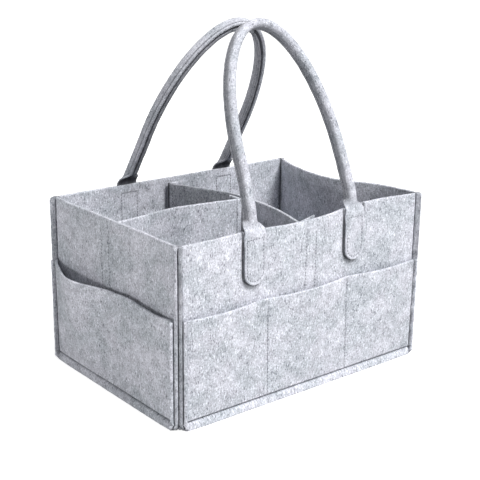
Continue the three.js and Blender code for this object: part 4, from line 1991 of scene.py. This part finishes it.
@dataclass
class Partitions:
    """The T of two dividers with their hook and loop tapes."""

    pattern: Pattern
    maker: Maker
    sewing: Sewing
    flange: float = 19 * MM
    fold_radius: float = 1.75 * MM
    slack_radius: float = 130 * MM
    slack: float = 2.0 * MM
    junction_margin: float = 8 * MM
    bow: float = 10.5 * MM
    flange_rise: float = 4.0 * MM
    belly: float = 3.5 * MM
    # painted shadow over the back part of the cross divider
    back_shade: float = 0.3
    tape_margin: float = 1.5 * MM
    tape_edge: float = 0.15 * MM
    tape_column: float = 1.2 * MM
    tape_row: float = 2 * MM
    tape_fray: float = 0.05 * MM
    tape_nap: float = 0.08 * MM
    backing: float = 0.6 * MM
    hook_pitch: float = 1.55 * MM
    hook_height: float = 0.55 * MM
    hook_radius: float = 0.17 * MM
    hook_sides: int = 5
    hook_sink: float = 0.05 * MM
    stem_share: float = 0.6
    head_share: float = 0.3
    head_width: float = 1.7
    tip_width: float = 0.6
    top_share: float = 0.01

    def build(self) -> None:
        """Makes both dividers and all the tapes."""
        low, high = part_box("cross_divider_front_hook_tape")
        tools = (self.pattern, self.maker, self.sewing)
        cross = Divider("cross_divider", Body.CROSS, self.cross_path(), *tools, seed=17.9, flange=self.flange,
                        belly=self.belly, flange_rise=self.flange_rise, back_shade=self.back_shade)
        long = Divider("long_divider", Body.LONG, self.long_path(), *tools, seed=19.3, flange=self.flange,
                       bow=self.bow)
        for divider in (cross, long):
            divider.build((low.z, high.z))
        for name in ("front_wall", "back_wall", "left_wall"):
            self.loop_tape(f"{name}_loop_tape", Body.BOX)
        self.loop_tape("cross_divider_loop_tape", Body.CROSS)
        hook = self.model_hook()
        for end in ("front", "back"):
            self.hook_tape(f"cross_divider_{end}_hook_tape", Body.CROSS, hook)
        for end in ("left", "right"):
            self.hook_tape(f"long_divider_{end}_hook_tape", Body.LONG, hook)

    def fold_at(self, tape: str) -> float:
        """Returns where the fold of a cross divider's flange lies along x, from the tape on it."""
        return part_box(tape)[1].x + self.tape_margin - self.flange

    def cross_path(self) -> PlanPath:
        """Draws the cross divider's line: flange, slack run to the junction, slack run, flange.

        Returns:
            The line.
        """
        half = self.pattern.felt / 2
        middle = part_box("cross_divider")[1].y - half
        front = self.fold_at("cross_divider_front_hook_tape")
        back = self.fold_at("cross_divider_back_hook_tape")
        low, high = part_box("cross_divider_loop_tape")
        junction = high.x + CLEARANCE + half
        return PlanPath([
            Vector((front + self.flange, -middle)), Vector((front, -middle)),
            Vector((junction + self.slack, low.y - self.junction_margin - self.slack)),
            Vector((junction, high.y + self.junction_margin)),
            Vector((back, middle)), Vector((back + self.flange, middle)),
        ], [self.fold_radius, self.slack_radius, self.slack_radius / 2, self.fold_radius])

    def long_path(self) -> PlanPath:
        """Draws the long divider's line: flange, run across the box, flange.

        Returns:
            The line.
        """
        low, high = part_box("long_divider")
        half = self.pattern.felt / 2
        y = low.y + half
        left, right = low.x + half, high.x - half
        return PlanPath([
            Vector((left, y + self.flange)), Vector((left, y)),
            Vector((right, y)), Vector((right, y + self.flange)),
        ], [self.fold_radius] * 2)

    def tape_blank(self, node: str, thickness: float, inward: float) -> Blank:
        """Cuts a tape that stands upright where its node is.

        Args:
            node: The tape's node.
            thickness: Thickness of the woven ground.
            inward: 1 to lay it on the node's high side, -1 on the low side, 0 in the middle.

        Returns:
            The blank.
        """
        low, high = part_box(node)
        size = high - low
        along, through = (0, 1) if size.x > size.y else (1, 0)
        middle = (low + high) / 2
        shift = inward * (size[through] - thickness) / 2

        def lay(across: float, up: float, depth: float) -> Vector:
            """Lays one point of the tape.

            Args:
                across: Place across the tape.
                up: Its height.
                depth: Place through the tape.

            Returns:
                The point.
            """
            spot = middle.copy()
            spot[along] += across
            spot[through] += shift + depth
            spot.z = up
            return spot

        half = size[along] / 2 - self.tape_edge
        columns = stations(-half, half, self.tape_column)
        rows = stations(low.z + self.tape_edge, high.z - self.tape_edge, self.tape_row)
        return Blank(f"{node}_strip", columns, rows, lay, thickness, seed=sum(middle),
                     edge=self.tape_edge, fray=self.tape_fray, nap=self.tape_nap)

    def loop_tape(self, node: str, body: Body) -> None:
        """Makes one loop tape.

        Args:
            node: The tape's node.
            body: The body that it rides on.
        """
        low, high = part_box(node)
        blank = self.tape_blank(node, min(high.x - low.x, high.y - low.y), 0)
        self.declare_tape(node, body, self.maker.piece(blank.name, blank.mesh(), Slot.LOOP_TAPE))

    @staticmethod
    def declare_tape(node: str, body: Body, made: bpy.types.Object) -> None:
        """Hangs a tape on its body and hides the node that it stands for.

        Args:
            node: The tape's node.
            body: The body that it rides on.
            made: The tape.
        """
        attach(made, body.value)
        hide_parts(node)

    def model_hook(self) -> bpy.types.Mesh:
        """Models one moulded hook: a short stem with a wider head.

        Returns:
            Its mesh, with the middle of the stem at the origin.
        """
        select_only(None)
        bpy.ops.mesh.primitive_cylinder_add(
            vertices=self.hook_sides, radius=self.hook_radius, depth=self.stem_share * self.hook_height)
        pin = bpy.context.active_object
        bpy.ops.object.mode_set(mode="EDIT")
        bpy.ops.mesh.select_mode(type="FACE")
        bpy.ops.mesh.select_all(action="DESELECT")
        bpy.ops.object.mode_set(mode="OBJECT")
        top = max(point.co.z for point in pin.data.vertices)
        for face in pin.data.polygons:
            face.select = face.center.z > top - self.top_share * self.hook_height
        bpy.ops.object.mode_set(mode="EDIT")
        bpy.ops.mesh.extrude_region_move()
        bpy.ops.transform.resize(value=(self.head_width, self.head_width, 1.0))
        rise = self.head_share * self.hook_height
        bpy.ops.mesh.extrude_region_move(TRANSFORM_OT_translate={"value": (0, 0, rise)})
        bpy.ops.transform.resize(value=(self.tip_width, self.tip_width, 1.0))
        bpy.ops.object.mode_set(mode="OBJECT")
        mesh = pin.data.copy()
        bpy.data.objects.remove(pin)
        return mesh

    def hook_tape(self, node: str, body: Body, hook: bpy.types.Mesh) -> None:
        """Makes one hook tape: its ground and its staggered field of hooks.

        Args:
            node: The tape's node.
            body: The body that it rides on.
            hook: The modelled hook.
        """
        low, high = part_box(node)
        size = high - low
        through = 1 if size.x > size.y else 0
        facing = {"front": -1, "back": 1, "left": -1, "right": 1}[node.split("_")[2]]
        blank = self.tape_blank(node, self.backing, -facing)
        mesh = blank.mesh()
        work = bmesh.new()
        work.from_mesh(mesh)
        up = Vector((0, 0, 0))
        up[through] = facing
        turn = Vector((0, 0, 1)).rotation_difference(up).to_matrix().to_4x4()
        foot = self.stem_share / 2 * self.hook_height - self.hook_sink
        width = max(size.x, size.y) / 2 - self.hook_pitch
        for i, across in enumerate(spread(-width, width, self.hook_pitch)):
            for height in spread(low.z + self.hook_pitch, high.z - self.hook_pitch, 2 * self.hook_pitch):
                stagger = self.hook_pitch if i % 2 else 0.0
                up_tape = min(height + stagger, high.z - self.hook_pitch)
                spot = blank.lay(across, up_tape, facing * self.backing / 2)
                seen = len(work.verts)
                work.from_mesh(hook)
                work.verts.ensure_lookup_table()
                place = Matrix.Translation(spot + up * foot) @ turn
                bmesh.ops.transform(work, matrix=place, verts=work.verts[seen:])
        work.to_mesh(mesh)
        work.free()
        self.declare_tape(node, body, self.maker.piece(blank.name, mesh, Slot.HOOK_TAPE))


@dataclass(frozen=True)
class Lamp:
    """A soft square lamp."""

    name: str
    place: tuple[float, float, float]
    size: float
    power: float

    def light(self, aim: Vector) -> None:
        """Hangs the lamp.

        Args:
            aim: The point that it faces.
        """
        data = bpy.data.lights.new(self.name, "AREA")
        data.size = self.size
        data.energy = self.power
        lamp = bpy.data.objects.new(self.name, data)
        bpy.context.scene.collection.objects.link(lamp)
        lamp.location = self.place
        lamp.rotation_mode = "QUATERNION"
        lamp.rotation_quaternion = (aim - Vector(self.place)).to_track_quat("-Z", "Y")


@dataclass(frozen=True)
class Studio:
    """A pale floor, a white surround, soft lamps and the camera."""

    image: int = 480
    sensor: float = 36.0
    focal: float = 1034.4
    azimuth: float = math.radians(-38.99)
    elevation: float = math.radians(16.97)
    roll: float = math.radians(0.64)
    eye: tuple[float, float, float] = (-0.6659, -0.8268, 0.4554)
    floor_size: float = 14.0
    floor_tone: Colour = (0.55, 0.55, 0.55, 1.0)
    white: Colour = (1.0, 1.0, 1.0, 1.0)
    near_glow: Colour = (0.85, 0.85, 0.85, 1.0)
    far_glow: Colour = (0.97, 0.97, 0.97, 1.0)
    glow_band: tuple[float, float] = (0.6, 2.5)
    surround: float = 0.32
    lamp_aim: tuple[float, float, float] = (0.0, 0.0, 0.12)
    lamps: tuple[Lamp, ...] = (
        Lamp("key_lamp", (0.38, -1.8, 2.65), 1.1, 131.0),
        Lamp("fill_lamp", (-2.2, -0.4, 0.2), 0.35, 11.5),
    )

    def build(self) -> None:
        """Makes the whole studio."""
        self.build_floor()
        self.build_world()
        for lamp in self.lamps:
            lamp.light(Vector(self.lamp_aim))
        self.build_camera()
        bpy.context.scene.view_settings.view_transform = "Standard"

    @staticmethod
    def seen_directly(graph: Graph) -> Value:
        """Tells what the eye sees apart from what only lights the object.

        Args:
            graph: The nodes that the answer is added to.

        Returns:
            1 for the camera and for what glossy or clear things show, else 0.
        """
        kinds = ("Is Camera Ray", "Is Glossy Ray", "Is Transmission Ray")
        rays = [graph.add("ShaderNodeLightPath", {}, {}, output=kind) for kind in kinds]
        return rays[0].maximum(rays[1]).maximum(rays[2])

    def build_floor(self) -> None:
        """Makes the floor, which keeps the shadow and looks white around it."""
        select_only(None)
        bpy.ops.mesh.primitive_plane_add(size=self.floor_size)
        floor = bpy.context.active_object
        floor.name = "studio_floor"
        material = bpy.data.materials.new("studio_white")
        graph = Graph(material)
        matt = graph.add("ShaderNodeBsdfDiffuse", {}, {"Color": self.floor_tone})
        place = graph.add("ShaderNodeTexCoord", {}, {}, output="Object")
        away = graph.add("ShaderNodeVectorMath", {"operation": "LENGTH"}, {0: place}, output="Value")
        paleness = graph.mix(away.between(*self.glow_band), self.near_glow, self.far_glow)
        glow = graph.add("ShaderNodeEmission", {}, {"Color": paleness, "Strength": 1.0})
        lit = graph.add("ShaderNodeAddShader", {}, {0: matt, 1: glow})
        seen = graph.add("ShaderNodeMixShader", {}, {0: self.seen_directly(graph), 1: matt, 2: lit})
        graph.node("ShaderNodeOutputMaterial", {}, {"Surface": seen})
        floor.data.materials.append(material)

    def build_world(self) -> None:
        """Makes the surround: white to the eye, softer as light."""
        world = bpy.data.worlds.new("studio_surround")
        bpy.context.scene.world = world
        graph = Graph(world)
        seen = self.seen_directly(graph)
        soft = graph.add("ShaderNodeBackground", {}, {"Color": self.white, "Strength": self.surround})
        white = graph.add("ShaderNodeBackground", {}, {"Color": self.white, "Strength": 1.0})
        sky = graph.add("ShaderNodeMixShader", {}, {0: seen, 1: soft, 2: white})
        graph.node("ShaderNodeOutputWorld", {}, {"Surface": sky})

    def build_camera(self) -> None:
        """Sets the camera where the photograph was taken from."""
        data = bpy.data.cameras.new("photograph")
        data.sensor_width = self.sensor
        data.lens = self.focal * self.sensor / self.image
        camera = bpy.data.objects.new("photograph", data)
        bpy.context.scene.collection.objects.link(camera)
        a, e = self.azimuth, self.elevation
        back = Vector((math.sin(a) * math.cos(e), -math.cos(a) * math.cos(e), math.sin(e)))
        level = Vector((math.cos(a), math.sin(a), 0))
        upright = back.cross(level)
        right = level * math.cos(self.roll) + upright * math.sin(self.roll)
        up = back.cross(right)
        turn = Matrix((right, up, back)).transposed().to_4x4()
        camera.matrix_world = Matrix.Translation(self.eye) @ turn
        bpy.context.scene.camera = camera


def main() -> None:
    """Builds the studio and the caddy, piece by piece."""
    logging.basicConfig(level=logging.INFO, format="%(name)s: %(message)s")
    Studio().build()
    pattern = Pattern.read()
    maker = Maker(Wardrobe())
    sewing = Sewing(maker)
    sewing.model_stitch()
    box = Box(pattern, maker, sewing)
    box.build()
    Handle(pattern, maker, sewing, box.front).build()
    BackHandle(pattern, maker, sewing, box.back).build()
    Partitions(pattern, maker, sewing).build()


if __name__ == "__main__":
    main()
